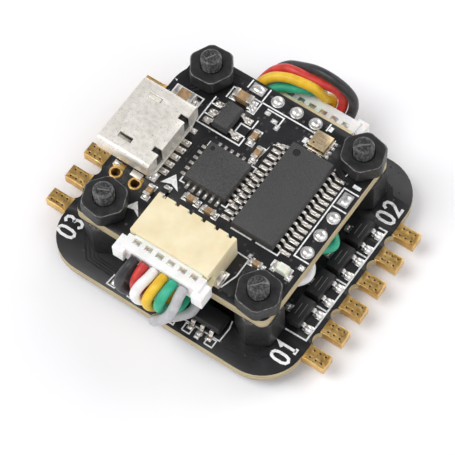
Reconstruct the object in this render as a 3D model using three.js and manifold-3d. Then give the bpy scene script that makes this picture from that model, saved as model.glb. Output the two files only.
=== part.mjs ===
// Two-board flight controller stack for a small multirotor, in millimetres, +Z up.
// A controller board sits above a wider motor driver board on four nylon spacers with a 16 mm hole
// pattern. The origin is under the middle of the driver board, level with the screw heads' undersides.
import * as THREE from 'three';
import { mergeVertices } from 'three/addons/utils/BufferGeometryUtils.js';
import Module from 'manifold-3d';

// ---------- driving dimensions ----------
const HOLE_PITCH = 16;            // M2 hole pattern, both ways
const HOLE_RADIUS = 1.1;
const PATTERN_Y = 0.2;            // the hole pattern's centre, from the driver board's centre

const HEAD_HEIGHT = 1.3;
const HEAD_RADIUS = 1.8;
const SEAT_GAP = 0.02;            // running gap between stacked faces
const DRIVER_THICKNESS = 1.0;
const SPACER_HEIGHT = 4.0;
const CONTROLLER_THICKNESS = 1.2;
const HEX_FLATS = 3.8;            // across flats, spacers and nuts
const NUT_HEIGHT = 1.6;
const NUT_BORE_RADIUS = 1.06;
const STUD_RADIUS = 0.95;
const STUD_ABOVE_BOARD = 3.0;
const SCREW_RADIUS = 0.8;
const SOCKET_RADIUS = 0.95;
const SOCKET_DEPTH = 2.6;

const DRIVER_LENGTH_X = 25.2;
const DRIVER_WIDTH_Y = 24.5;
const DRIVER_CORNER = 4.0;
const TAB_REACH_X = 14.8;
const TAB_WIDTH = 1.4;
const TAB_PITCH = 2.83;
const TAB_COUNT = 6;
const TAB_ROW_CENTRE_Y = -0.4;
const NOTCH_BOTTOM_X = 12.4;

const CONTROLLER_LENGTH_X = 19.9;
const CONTROLLER_WIDTH_Y = 19.4;
const CONTROLLER_CENTRE_X = -0.25;
const CONTROLLER_CORNER = 0.8;

const HEADER_WIDTH = 8.0;
const HEADER_DEPTH = 4.25;
const HEADER_HEIGHT = 2.95;
const PLUG_WIDTH = 6.9;
const PLUG_THICKNESS = 2.1;
const PLUG_CENTRE_Z = 1.35;
const PLUG_INSERTION = 1.6;
const PLUG_BODY_OUT = 1.45;
const PLUG_EAR_OUT = 1.9;
const PLUG_EAR_SPAN = 9.2;
const LEAD_DIAMETER = 0.92;
const LEAD_SIDES = 8;

const DRIVER_TOP = HEAD_HEIGHT + DRIVER_THICKNESS;
const CONTROLLER_BOTTOM = DRIVER_TOP + SPACER_HEIGHT;
const CONTROLLER_TOP = CONTROLLER_BOTTOM + CONTROLLER_THICKNESS;

// ---------- materials ----------
function finish(color, roughness, metalness = 0) {
  return new THREE.MeshStandardMaterial({ color, roughness, metalness });
}
const MASK = finish(0x151517, 0.4);
const NYLON = finish(0x1f2021, 0.5);
const STEEL = finish(0xcfcac0, 0.3, 1);
const CREAM = finish(0xf3e8c8, 0.5);
const WHITE_PLASTIC = finish(0xf2f0ef, 0.45);
const EPOXY = finish(0x2b2b2d, 0.6);
const GOLD_LID = finish(0xb89155, 0.35, 1);
const CERAMIC = finish(0xb1885b, 0.5);
const LAMP = finish(0xf4efd8, 0.3);

// ---------- solids ----------
const wasm = await Module();
wasm.setup();

function toSolid(geometry) {
  const bare = geometry.clone();
  bare.deleteAttribute('normal');
  bare.deleteAttribute('uv');
  const merged = mergeVertices(bare, 1e-5);
  return new wasm.Manifold(new wasm.Mesh({
    numProp: 3,
    vertProperties: new Float32Array(merged.attributes.position.array),
    triVerts: new Uint32Array(merged.index.array),
  }));
}

function toGeometry(solid) {
  const mesh = solid.getMesh();
  const geometry = new THREE.BufferGeometry();
  geometry.setAttribute('position', new THREE.BufferAttribute(mesh.vertProperties, 3));
  geometry.setIndex(new THREE.BufferAttribute(mesh.triVerts, 1));
  geometry.computeVertexNormals();
  return geometry;
}

function join(...geometries) {
  return toGeometry(geometries.map(toSolid).reduce((whole, next) => whole.add(next)));
}

function cut(geometry, ...tools) {
  return toGeometry(tools.map(toSolid).reduce((whole, next) => whole.subtract(next), toSolid(geometry)));
}

// A box from its lowest corner and its size.
function block(x, y, z, width, depth, height) {
  return new THREE.BoxGeometry(width, depth, height).translate(x + width / 2, y + depth / 2, z + height / 2);
}

// A box standing on z, centred on x and y.
function post(x, y, z, width, depth, height) {
  return block(x - width / 2, y - depth / 2, z, width, depth, height);
}

function prism(shape, bottom, height, curveSegments = 6) {
  return new THREE.ExtrudeGeometry(shape, { depth: height, bevelEnabled: false, curveSegments })
    .translate(0, 0, bottom);
}

function rod(radius, bottom, height, sides = 16) {
  return new THREE.CylinderGeometry(radius, radius, height, sides)
    .rotateX(Math.PI / 2).translate(0, 0, bottom + height / 2);
}

// A turned solid about Z from [radius, height] pairs that start and end on the axis.
function turned(profile, sides = 20) {
  const points = profile.map(([r, z]) => new THREE.Vector2(r, z));
  return new THREE.LatheGeometry(points, sides).rotateX(Math.PI / 2);
}

function roundedRectangle(width, depth, radius, centreX = 0) {
  const x = width / 2;
  const y = depth / 2;
  const shape = new THREE.Shape();
  shape.moveTo(centreX - x + radius, -y);
  shape.lineTo(centreX + x - radius, -y);
  shape.absarc(centreX + x - radius, -y + radius, radius, -Math.PI / 2, 0);
  shape.lineTo(centreX + x, y - radius);
  shape.absarc(centreX + x - radius, y - radius, radius, 0, Math.PI / 2);
  shape.lineTo(centreX - x + radius, y);
  shape.absarc(centreX - x + radius, y - radius, radius, Math.PI / 2, Math.PI);
  shape.lineTo(centreX - x, -y + radius);
  shape.absarc(centreX - x + radius, -y + radius, radius, Math.PI, Math.PI * 1.5);
  return shape;
}

function circlePath(x, y, radius) {
  return new THREE.Path().absarc(x, y, radius, 0, Math.PI * 2, true);
}

// A hexagonal bar with its two ends chamfered, its corners at the given turn about Z.
function hexBar(flats, bottom, height, chamfer, turn) {
  const corner = flats / Math.sqrt(3);
  const bar = new THREE.CylinderGeometry(corner, corner, height, 6)
    .rotateX(Math.PI / 2).rotateZ(turn).translate(0, 0, bottom + height / 2);
  const cone = turned([
    [0, bottom],
    [flats / 2, bottom],
    [corner + 0.02, bottom + chamfer],
    [corner + 0.02, bottom + height - chamfer],
    [flats / 2, bottom + height],
    [0, bottom + height],
  ], 24);
  return toGeometry(toSolid(bar).intersect(toSolid(cone)));
}

// ---------- scene graph ----------
const flightController = new THREE.Group();

const driverLevel = new THREE.Group();
driverLevel.position.z = DRIVER_TOP;
flightController.add(driverLevel);

const controllerLevel = new THREE.Group();
controllerLevel.position.set(0, PATTERN_Y, CONTROLLER_TOP);
flightController.add(controllerLevel);

function add(parent, name, geometry, material, x = 0, y = 0, z = 0, turn = 0) {
  const mesh = new THREE.Mesh(geometry, material);
  mesh.name = name;
  mesh.position.set(x, y, z);
  mesh.rotation.z = turn;
  parent.add(mesh);
  return mesh;
}

// The four fixing places, named by the corner that each is in.
const HALF_PITCH = HOLE_PITCH / 2;
const CORNERS = [
  { name: 'front_left', x: -HALF_PITCH, y: -HALF_PITCH, nutTurn: 0.38 },
  { name: 'front_right', x: HALF_PITCH, y: -HALF_PITCH, nutTurn: 0.41 },
  { name: 'rear_left', x: -HALF_PITCH, y: HALF_PITCH, nutTurn: 0.58 },
  { name: 'rear_right', x: HALF_PITCH, y: HALF_PITCH, nutTurn: 0.32 },
];

// ---------- motor driver board ----------
// One long side with its row of solder tabs, drawn in the direction of travel given by side.
function tabRow(shape, side) {
  const notchRadius = (TAB_PITCH - TAB_WIDTH) / 2;
  const edge = side * DRIVER_LENGTH_X / 2;
  const reach = side * TAB_REACH_X;
  const notchCentre = side * (NOTCH_BOTTOM_X + notchRadius);
  for (let k = 0; k < TAB_COUNT; k += 1) {
    const along = k - (TAB_COUNT - 1) / 2;
    const middle = TAB_ROW_CENTRE_Y + side * along * TAB_PITCH;
    const near = middle - side * TAB_WIDTH / 2;
    const far = middle + side * TAB_WIDTH / 2;
    shape.lineTo(k === 0 ? edge : notchCentre, near);
    shape.lineTo(reach, near);
    shape.lineTo(reach, far);
    shape.lineTo(k === TAB_COUNT - 1 ? edge : notchCentre, far);
    if (k < TAB_COUNT - 1) {
      const start = side > 0 ? -Math.PI / 2 : Math.PI / 2;
      shape.absarc(notchCentre, far + side * notchRadius, notchRadius, start, start - Math.PI, true);
    }
  }
}

function driverBoard() {
  const x = DRIVER_LENGTH_X / 2;
  const y = DRIVER_WIDTH_Y / 2;
  const r = DRIVER_CORNER;
  const shape = new THREE.Shape();
  shape.moveTo(-x + r, -y);
  shape.lineTo(x - r, -y);
  shape.absarc(x - r, -y + r, r, -Math.PI / 2, 0);
  tabRow(shape, 1);
  shape.lineTo(x, y - r);
  shape.absarc(x - r, y - r, r, 0, Math.PI / 2);
  shape.lineTo(-x + r, y);
  shape.absarc(-x + r, y - r, r, Math.PI / 2, Math.PI);
  tabRow(shape, -1);
  shape.lineTo(-x, -y + r);
  shape.absarc(-x + r, -y + r, r, Math.PI, Math.PI * 1.5);
  for (const corner of CORNERS) {
    shape.holes.push(circlePath(corner.x, corner.y + PATTERN_Y, HOLE_RADIUS));
  }
  return prism(shape, -DRIVER_THICKNESS, DRIVER_THICKNESS);
}
add(driverLevel, 'motor_driver_board', driverBoard(), MASK);

// ---------- controller board ----------
const USB_RING_HOLES = [[-9.2, -4.85], [-7.15, -4.85]];

function controllerBoard() {
  const shape = roundedRectangle(
    CONTROLLER_LENGTH_X, CONTROLLER_WIDTH_Y, CONTROLLER_CORNER, CONTROLLER_CENTRE_X);
  for (const corner of CORNERS) {
    shape.holes.push(circlePath(corner.x, corner.y, HOLE_RADIUS));
  }
  for (const [x, y] of USB_RING_HOLES) {
    shape.holes.push(circlePath(x, y, 0.4));
  }
  return prism(shape, -CONTROLLER_THICKNESS, CONTROLLER_THICKNESS);
}
add(controllerLevel, 'controller_board', controllerBoard(), MASK);

// ---------- fixings ----------
// Pan-head screw: head under the driver board, shank up through it into the spacer.
function screw() {
  const shankTop = HEAD_HEIGHT + DRIVER_THICKNESS + SOCKET_DEPTH - 0.4;
  const body = turned([
    [0, 0],
    [HEAD_RADIUS - 0.35, 0],
    [HEAD_RADIUS, 0.45],
    [HEAD_RADIUS, HEAD_HEIGHT - SEAT_GAP],
    [SCREW_RADIUS, HEAD_HEIGHT - SEAT_GAP],
    [SCREW_RADIUS, shankTop - 0.2],
    [SCREW_RADIUS - 0.2, shankTop],
    [0, shankTop],
  ]);
  const slotArm = block(-1.1, -0.19, -0.1, 2.2, 0.38, 0.7);
  return cut(body, slotArm, slotArm.clone().rotateZ(Math.PI / 2));
}

// Hexagonal spacer with a socket below and a stud above.
function spacer() {
  const bottom = DRIVER_TOP + SEAT_GAP;
  const top = CONTROLLER_BOTTOM - SEAT_GAP;
  const bar = hexBar(HEX_FLATS, bottom, top - bottom, 0.12, 0);
  const stud = turned([
    [0, top - 0.3],
    [STUD_RADIUS, top - 0.3],
    [STUD_RADIUS, CONTROLLER_TOP + STUD_ABOVE_BOARD - 0.25],
    [STUD_RADIUS - 0.25, CONTROLLER_TOP + STUD_ABOVE_BOARD],
    [0, CONTROLLER_TOP + STUD_ABOVE_BOARD],
  ], 16);
  return cut(join(bar, stud), rod(SOCKET_RADIUS, bottom - 0.5, SOCKET_DEPTH + 0.5));
}

function nut(turn) {
  const bottom = CONTROLLER_TOP + SEAT_GAP;
  const bore = rod(NUT_BORE_RADIUS, bottom - 1, NUT_HEIGHT + 2);
  return cut(hexBar(HEX_FLATS, bottom, NUT_HEIGHT, 0.22, turn), bore);
}

for (const { name, x, y, nutTurn } of CORNERS) {
  add(flightController, `screw_${name}`, screw(), NYLON, x, y + PATTERN_Y);
  add(flightController, `spacer_${name}`, spacer(), NYLON, x, y + PATTERN_Y);
  add(flightController, `nut_${name}`, nut(nutTurn), NYLON, x, y + PATTERN_Y);
}

// ---------- connectors ----------
// Side-entry header: its mouth faces -Y at y = 0, its pole row is centred on x = 0, its seat is z = 0.
function header() {
  const wall = 0.45;
  const depth = PLUG_INSERTION + 0.15;
  const body = block(-HEADER_WIDTH / 2, 0, 0, HEADER_WIDTH, HEADER_DEPTH, HEADER_HEIGHT);
  const mouthBottom = PLUG_CENTRE_Z - PLUG_THICKNESS / 2 - 0.06;
  const mouthHeight = PLUG_THICKNESS + 0.12;
  const mouth = block(-HEADER_WIDTH / 2 + wall, -1, mouthBottom, HEADER_WIDTH - 2 * wall, 1 + depth, mouthHeight);
  const earNotches = [-1, 1].map((side) => block(
    side * HEADER_WIDTH / 2 - 0.5, -1, 0.5, 1.0, 1.9, HEADER_HEIGHT - 1.3));
  return cut(body, mouth, ...earNotches);
}

// Crimp housing: its front is inside the header, its leads leave towards -Y.
function plug() {
  const bottom = PLUG_CENTRE_Z - PLUG_THICKNESS / 2;
  const nose = block(-PLUG_WIDTH / 2, -0.2, bottom, PLUG_WIDTH, PLUG_INSERTION + 0.2, PLUG_THICKNESS);
  const back = block(
    -HEADER_WIDTH / 2, -PLUG_BODY_OUT, bottom, HEADER_WIDTH, PLUG_BODY_OUT - 0.1, PLUG_THICKNESS);
  const ears = [-1, 1].map((side) => block(
    side > 0 ? HEADER_WIDTH / 2 - 0.5 : -PLUG_EAR_SPAN / 2, -PLUG_EAR_OUT, 0.55,
    (PLUG_EAR_SPAN - HEADER_WIDTH) / 2 + 0.5, PLUG_EAR_OUT - 0.35, 1.55));
  return join(nose, back, ...ears);
}

const CONTROLLER_HEADER = { x: 0.13, y: -9.8 };
const DRIVER_HEADER = { x: 0.9, y: 11.1 + PATTERN_Y };
add(
  controllerLevel, 'controller_header', header(), CREAM,
  CONTROLLER_HEADER.x, CONTROLLER_HEADER.y, SEAT_GAP);
add(
  controllerLevel, 'controller_plug', plug(), WHITE_PLASTIC,
  CONTROLLER_HEADER.x, CONTROLLER_HEADER.y, SEAT_GAP);
add(driverLevel, 'driver_header', header(), CREAM, DRIVER_HEADER.x, DRIVER_HEADER.y, SEAT_GAP, Math.PI);
add(driverLevel, 'driver_plug', plug(), WHITE_PLASTIC, DRIVER_HEADER.x, DRIVER_HEADER.y, SEAT_GAP, Math.PI);

// ---------- USB socket ----------
const USB = { mouthX: -11.8, rearX: -6.2, y: -0.3, width: 7.5, height: 2.5, wall: 0.25 };

function usbOutline(inset) {
  const half = USB.width / 2 - inset;
  const bottom = inset;
  const top = USB.height - inset;
  const bevel = 1.0;
  const shape = new THREE.Shape();
  shape.moveTo(-half + bevel, bottom);
  shape.lineTo(half - bevel, bottom);
  shape.lineTo(half, bottom + bevel * 0.8);
  shape.lineTo(half, top - 0.25);
  shape.lineTo(half - 0.25, top);
  shape.lineTo(-half + 0.25, top);
  shape.lineTo(-half, top - 0.25);
  shape.lineTo(-half, bottom + bevel * 0.8);
  return shape;
}

// The outline is in Y and Z, and runs along X.
function alongX(shape, start, length) {
  return prism(shape, 0, length).applyMatrix4(new THREE.Matrix4().set(
    0, 0, 1, start,
    1, 0, 0, USB.y,
    0, 1, 0, 0,
    0, 0, 0, 1));
}

function usbShell() {
  const length = USB.rearX - USB.mouthX;
  const tube = alongX(usbOutline(0), USB.mouthX, length);
  const hollow = alongX(usbOutline(USB.wall), USB.mouthX - 1, length + 2);
  const latchWindows = [-1, 1].map((side) => post(USB.mouthX + 1.9, USB.y + side * 2.1, 2, 1.5, 0.8, 2));
  return cut(tube, hollow, ...latchWindows);
}

function usbTongue() {
  const blockLength = 1.1;
  const clear = 0.32;
  const core = post(USB.rearX - blockLength / 2 + 0.05, USB.y, clear + 0.6, blockLength, USB.width - 1.3, 1.2);
  const tongue = block(USB.mouthX + 0.7, USB.y - 1.9, 1.45, USB.rearX - USB.mouthX - 1.2, 3.8, 0.55);
  return join(core, tongue);
}
add(controllerLevel, 'usb_socket_shell', usbShell(), STEEL, 0, 0, SEAT_GAP);
add(controllerLevel, 'usb_socket_tongue', usbTongue(), CREAM, 0, 0, SEAT_GAP);

// ---------- chips ----------
// Gull-wing leads stand out of both long sides of a narrow chip.
function leadedChip(width, length, thickness, pitch, count, reach) {
  const lift = 0.1;
  const pieces = [post(0, 0, lift, width, length, thickness)];
  for (let k = 0; k < count; k += 1) {
    const y = (k - (count - 1) / 2) * pitch;
    pieces.push(post(0, y, lift + thickness * 0.4, width + 0.5, 0.24, 0.12));
    for (const side of [-1, 1]) {
      pieces.push(post(side * (width / 2 + 0.3), y, 0, 0.12, 0.24, lift + thickness * 0.4 + 0.12));
      const toe = side > 0 ? width / 2 + 0.24 : -reach / 2;
      pieces.push(block(toe, y - 0.12, 0, reach / 2 - width / 2 - 0.24, 0.24, 0.12));
    }
  }
  return join(...pieces);
}

const VIDEO_CHIP = { x: 4.32, y: 1.05 };
add(
  controllerLevel, 'video_chip', leadedChip(4.4, 9.7, 1.0, 0.65, 14, 6.4), EPOXY,
  VIDEO_CHIP.x, VIDEO_CHIP.y, SEAT_GAP);
add(controllerLevel, 'motion_sensor', post(0, 0, 0, 4.3, 4.1, 0.85), EPOXY, -1.7, -0.08, SEAT_GAP);
add(controllerLevel, 'pressure_sensor', post(0, 0, 0, 1.9, 1.9, 0.75), GOLD_LID, 4.05, 7.3, SEAT_GAP);
add(controllerLevel, 'voltage_regulator', post(0, 0, 0, 1.65, 2.7, 1.05), EPOXY, -4.07, 4.83, SEAT_GAP);
add(controllerLevel, 'status_lamp', post(0, 0, 0, 1.7, 0.9, 0.6), LAMP, 8.15, -4.65, SEAT_GAP);
add(
  controllerLevel, 'microcontroller', post(0, 0, -0.85, 7.0, 7.0, 0.85), EPOXY,
  4.2, -1.0, -CONTROLLER_THICKNESS - SEAT_GAP);

// Ceramic capacitors and one chip resistor, with their length along X and width along Y.
const PASSIVES = [
  { name: 'usb_capacitor', x: -8.45, y: 4.4, length: 1.95, width: 1.2, height: 1.0 },
  { name: 'input_capacitor', x: -4.1, y: 7.3, length: 1.85, width: 0.9, height: 0.9 },
  { name: 'supply_capacitor_1', x: -1.15, y: 4.65, length: 0.6, width: 1.2, height: 0.55 },
  { name: 'supply_capacitor_2', x: 0.0, y: 3.4, length: 0.6, width: 1.2, height: 0.55 },
  { name: 'sensor_capacitor_1', x: -2.15, y: -3.45, length: 1.2, width: 0.6, height: 0.55 },
  { name: 'sensor_capacitor_2', x: -0.2, y: -3.6, length: 1.2, width: 0.6, height: 0.55 },
  { name: 'port_capacitor', x: -5.63, y: -4.85, length: 0.6, width: 1.1, height: 0.55 },
  { name: 'port_resistor', x: -4.5, y: -4.15, length: 0.55, width: 1.0, height: 0.4 },
  { name: 'lamp_capacitor', x: 6.05, y: -5.5, length: 1.0, width: 0.55, height: 0.55 },
];
for (const { name, x, y, length, width, height } of PASSIVES) {
  add(controllerLevel, name, post(0, 0, 0, length, width, height), CERAMIC, x, y, SEAT_GAP);
}

// ---------- motor driver parts ----------
const TRANSISTOR = { x: 10.3, width: 1.5, length: 2.8, height: 1.0, pitch: 3.1, centreY: -0.3 };
for (const [side, label] of [[1, 'right'], [-1, 'left']]) {
  for (let k = 0; k < 4; k += 1) {
    const y = TRANSISTOR.centreY + (k - 1.5) * TRANSISTOR.pitch;
    add(driverLevel, `transistor_${label}_${k + 1}`,
      post(0, 0, 0, TRANSISTOR.width, TRANSISTOR.length, TRANSISTOR.height), EPOXY,
      side * TRANSISTOR.x, y, SEAT_GAP);
  }
}
add(driverLevel, 'bus_regulator', post(0, 0, 0, 3.2, 1.9, 1.0), EPOXY, 4.1, -9.7, SEAT_GAP);

// One small processor for each motor, on the underside between the screw heads.
for (const [k, x, y] of [[1, 5, -5], [2, 5, 5], [3, -5, -5], [4, -5, 5]]) {
  add(
    driverLevel, `motor_processor_${k}`, post(0, 0, 0, 3, 3, 0.8), EPOXY,
    x, y, -DRIVER_THICKNESS - 0.8 - SEAT_GAP);
}

// ---------- lead harness ----------
// Six silicone leads run from the controller's plug, under the controller board and round into the
// driver's plug. The points are each lead's centre line, measured from the top of the controller board.
const LEADS = [
  {
    name: 'lead_black', color: 0x232325,
    route: [
      [-2.37, -11.28, 1.37], [-2.45, -12.0, 1.25], [-2.75, -12.75, 0.5], [-2.9, -13.1, -0.6],
      [-2.6, -12.95, -1.7], [-2.2, -12.2, -2.7], [-2.1, -11.0, -3.55], [-2.4, -9.4, -3.8],
      [-2.9, -7.5, -4.0], [-4.2, -4.0, -4.6], [-5.0, 0.0, -4.65], [-5.0, 4.0, -4.65], [-5.0, 8.0, -4.65],
      [-5.1, 10.3, -4.5], [-5.1, 11.8, -4.0], [-4.6, 12.9, -3.1], [-3.6, 13.5, -2.0], [-2.2, 13.67, -1.2],
      [-0.6, 13.67, -0.4], [1.0, 13.6, -0.15], [2.4, 13.6, -0.6], [3.2, 13.67, -1.6], [3.42, 13.6, -2.7],
      [3.4, 13.4, -3.5], [3.4, 13.0, -3.82], [3.4, 12.6, -3.83],
    ],
  },
  {
    name: 'lead_red', color: 0xc8302f,
    route: [
      [-1.37, -11.28, 1.37], [-1.4, -11.9, 1.2], [-1.5, -12.5, 0.45], [-1.5, -12.7, -0.5],
      [-1.35, -12.4, -1.5], [-1.15, -11.8, -2.5], [-1.1, -11.0, -3.3], [-1.4, -9.4, -3.7],
      [-1.9, -7.5, -3.7], [-3.3, -3.5, -3.6], [-4.8, 0.5, -3.6], [-5.0, 4.0, -3.6], [-5.0, 8.0, -3.6],
      [-5.0, 10.0, -3.4], [-4.95, 11.3, -2.9], [-4.35, 12.2, -1.95], [-3.3, 12.65, -1.1],
      [-2.2, 12.75, -0.8], [-1.0, 12.9, -0.9], [0.6, 13.2, -1.05], [1.6, 13.5, -1.45], [2.25, 13.6, -2.3],
      [2.4, 13.45, -3.2], [2.4, 13.0, -3.8], [2.4, 12.6, -3.83],
    ],
  },
  {
    name: 'lead_white', color: 0xe9e7e6,
    route: [
      [-0.37, -11.28, 1.37], [-0.42, -12.2, 1.45], [-0.65, -13.1, 1.2], [-0.8, -13.6, 0.5],
      [-0.65, -13.55, -0.4], [-0.4, -13.0, -1.3], [-0.15, -12.2, -2.2], [-0.1, -11.0, -3.4],
      [-0.3, -9.4, -4.2], [-0.1, -8.4, -4.6], [1.0, -7.3, -4.7], [2.6, -6.4, -4.7], [4.8, -5.4, -4.4],
      [6.8, -4.6, -3.6], [8.5, -3.9, -3.15], [9.35, -2.7, -3.1], [9.0, -1.7, -3.1], [8.0, -1.15, -3.15],
      [6.4, -1.2, -3.7], [4.8, -1.1, -4.5], [2.5, -0.5, -4.7], [-0.5, 1.0, -4.7], [-2.8, 3.2, -4.7],
      [-3.8, 5.5, -4.65], [-3.9, 8.0, -4.65], [-4.0, 9.5, -4.4], [-4.3, 10.9, -3.95], [-4.2, 11.8, -3.3],
      [-3.6, 12.5, -2.45], [-2.8, 13.1, -2.4], [-2.0, 13.5, -2.9], [-1.62, 13.45, -3.5], [-1.6, 13.0, -3.82],
      [-1.6, 12.6, -3.83],
    ],
  },
  {
    name: 'lead_yellow', color: 0xe3b71f,
    route: [
      [0.63, -11.28, 1.37], [0.6, -12.2, 1.4], [0.45, -13.0, 1.0], [0.3, -13.45, 0.2], [0.35, -13.4, -0.7],
      [0.55, -12.9, -1.6], [0.8, -12.1, -2.4], [0.85, -11.0, -3.3], [0.7, -9.4, -3.6], [0.4, -7.5, -3.5],
      [-1.5, -3.5, -3.2], [-3.6, 1.0, -2.6], [-4.9, 4.0, -2.55], [-5.0, 8.0, -2.55], [-4.7, 9.8, -1.9],
      [-3.9, 11.0, -1.0], [-2.6, 11.6, -0.55], [-1.0, 11.95, -0.5], [0.2, 12.25, -0.9], [1.0, 12.6, -2.1],
      [1.35, 13.25, -2.9], [1.4, 13.3, -3.5], [1.4, 13.0, -3.82], [1.4, 12.6, -3.83],
    ],
  },
  {
    name: 'lead_green', color: 0x2f9f7a,
    route: [
      [1.63, -11.28, 1.37], [1.6, -12.1, 1.4], [1.5, -12.85, 1.05], [1.4, -13.25, 0.3], [1.4, -13.15, -0.55],
      [1.55, -12.7, -1.4], [1.8, -11.9, -2.2], [1.9, -11.0, -3.0], [1.8, -9.4, -3.5], [2.4, -7.5, -3.4],
      [3.4, -4.5, -3.2], [3.9, -1.6, -3.15], [5.4, -0.15, -3.1], [7.4, 0.0, -3.1], [8.9, 0.25, -3.1],
      [9.55, 1.1, -3.1], [8.9, 1.95, -3.1], [7.2, 2.4, -3.1], [4.0, 2.9, -3.1], [0.5, 3.4, -3.0],
      [-2.2, 4.4, -2.7], [-3.7, 6.0, -2.55], [-3.9, 8.0, -2.55], [-3.7, 9.8, -2.0], [-3.0, 10.9, -1.75],
      [-1.8, 11.6, -1.65], [-0.5, 12.4, -1.9], [0.2, 13.1, -2.6], [0.4, 13.3, -3.3], [0.4, 13.0, -3.82],
      [0.4, 12.6, -3.83],
    ],
  },
  {
    name: 'lead_grey', color: 0xb9b8bb,
    route: [
      [2.63, -11.28, 1.37], [2.7, -12.1, 1.3], [2.75, -12.9, 0.7], [2.5, -13.55, -0.2], [1.9, -13.9, -1.0],
      [1.25, -13.9, -1.9], [0.95, -13.4, -2.75], [1.4, -12.6, -3.3], [2.2, -11.7, -3.6], [2.85, -10.7, -3.6],
      [2.7, -9.3, -3.0], [2.1, -7.6, -2.3], [1.0, -6.0, -2.0], [0.0, -4.7, -1.95], [-1.0, -1.5, -2.2],
      [-1.6, 1.0, -2.9], [-2.6, 3.4, -3.6], [-3.8, 6.0, -3.6], [-3.9, 8.0, -3.6], [-4.1, 10.2, -3.1],
      [-3.7, 11.3, -2.1], [-2.8, 11.95, -1.75], [-1.5, 13.2, -1.85], [-0.7, 13.45, -2.6],
      [-0.6, 13.35, -3.4], [-0.6, 13.0, -3.82], [-0.6, 12.6, -3.83],
    ],
  },
];
const LEAD_STEP = 1.05;

function lead(route) {
  const points = route.map((point) => new THREE.Vector3(...point));
  const path = new THREE.CatmullRomCurve3(points, false, 'centripetal');
  const section = new THREE.Shape();
  for (let k = 0; k < LEAD_SIDES; k += 1) {
    const angle = (k / LEAD_SIDES) * Math.PI * 2;
    section.lineTo(Math.cos(angle) * LEAD_DIAMETER / 2, Math.sin(angle) * LEAD_DIAMETER / 2);
  }
  const steps = Math.round(path.getLength() / LEAD_STEP);
  return new THREE.ExtrudeGeometry(section, { steps, extrudePath: path, bevelEnabled: false });
}
for (const { name, color, route } of LEADS) {
  add(controllerLevel, name, lead(route), finish(color, 0.5));
}

export default flightController;
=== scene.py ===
"""Looks of a two-board flight controller stack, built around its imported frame.

Lengths are millimetres, measured from the top of a board under the middle of the hole pattern, and turned
into metres when a piece becomes an object.
"""

import math
import random

import bmesh
import bpy
from mathutils import Matrix, Vector
from mathutils.geometry import tessellate_polygon


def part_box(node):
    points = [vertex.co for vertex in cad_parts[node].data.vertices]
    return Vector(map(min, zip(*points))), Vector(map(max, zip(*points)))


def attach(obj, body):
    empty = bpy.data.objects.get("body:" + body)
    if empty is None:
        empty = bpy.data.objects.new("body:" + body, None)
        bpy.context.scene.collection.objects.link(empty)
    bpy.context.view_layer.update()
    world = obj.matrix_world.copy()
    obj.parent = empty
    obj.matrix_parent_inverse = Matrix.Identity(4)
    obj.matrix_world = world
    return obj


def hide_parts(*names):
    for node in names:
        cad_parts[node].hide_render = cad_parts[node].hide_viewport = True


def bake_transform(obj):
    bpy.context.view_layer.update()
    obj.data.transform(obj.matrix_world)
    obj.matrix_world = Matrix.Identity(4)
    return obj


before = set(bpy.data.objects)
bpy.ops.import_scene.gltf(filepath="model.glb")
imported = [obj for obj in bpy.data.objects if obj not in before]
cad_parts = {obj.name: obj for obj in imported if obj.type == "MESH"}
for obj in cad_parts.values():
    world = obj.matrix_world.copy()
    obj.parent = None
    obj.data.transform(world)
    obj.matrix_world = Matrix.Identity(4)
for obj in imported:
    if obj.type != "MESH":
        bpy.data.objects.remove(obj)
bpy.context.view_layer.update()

MM = 0.001
PATTERN_Y = 0.2
HALF_PITCH = 8.0
DRIVER_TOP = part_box("motor_driver_board")[1].z / MM
CONTROLLER_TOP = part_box("controller_board")[1].z / MM
DRIVER = Vector((0, PATTERN_Y, DRIVER_TOP))
CONTROLLER = Vector((0, PATTERN_Y, CONTROLLER_TOP))
CORNERS = {
    "front_left": (-HALF_PITCH, -HALF_PITCH, 0.38),
    "front_right": (HALF_PITCH, -HALF_PITCH, 0.41),
    "rear_left": (-HALF_PITCH, HALF_PITCH, 0.58),
    "rear_right": (HALF_PITCH, HALF_PITCH, 0.32),
}


# ---------- camera ----------
def place_camera():
    azimuth, elevation, roll = math.radians(37.12), math.radians(61.08), math.radians(-2.8)
    target = Vector((0, 0.2, 7.5)) * MM
    distance = 0.2
    level = math.cos(elevation)
    back = Vector((math.sin(azimuth) * level, -math.cos(azimuth) * level, math.sin(elevation)))
    right = Vector((0, 0, 1)).cross(back).normalized()
    up = back.cross(right)
    turned_right = right * math.cos(roll) + up * math.sin(roll)
    turned_up = up * math.cos(roll) - right * math.sin(roll)
    camera = bpy.data.objects.new("camera", bpy.data.cameras.new("camera"))
    bpy.context.scene.collection.objects.link(camera)
    matrix = Matrix((turned_right, turned_up, back)).transposed().to_4x4()
    matrix.translation = target + back * distance
    camera.matrix_world = matrix
    camera.data.sensor_width = 36
    camera.data.lens = 183.2
    camera.data.shift_x = -0.0162
    camera.data.shift_y = -0.0967
    camera.data.clip_start = 0.005
    camera.data.clip_end = 20
    bpy.context.scene.camera = camera


place_camera()


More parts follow.
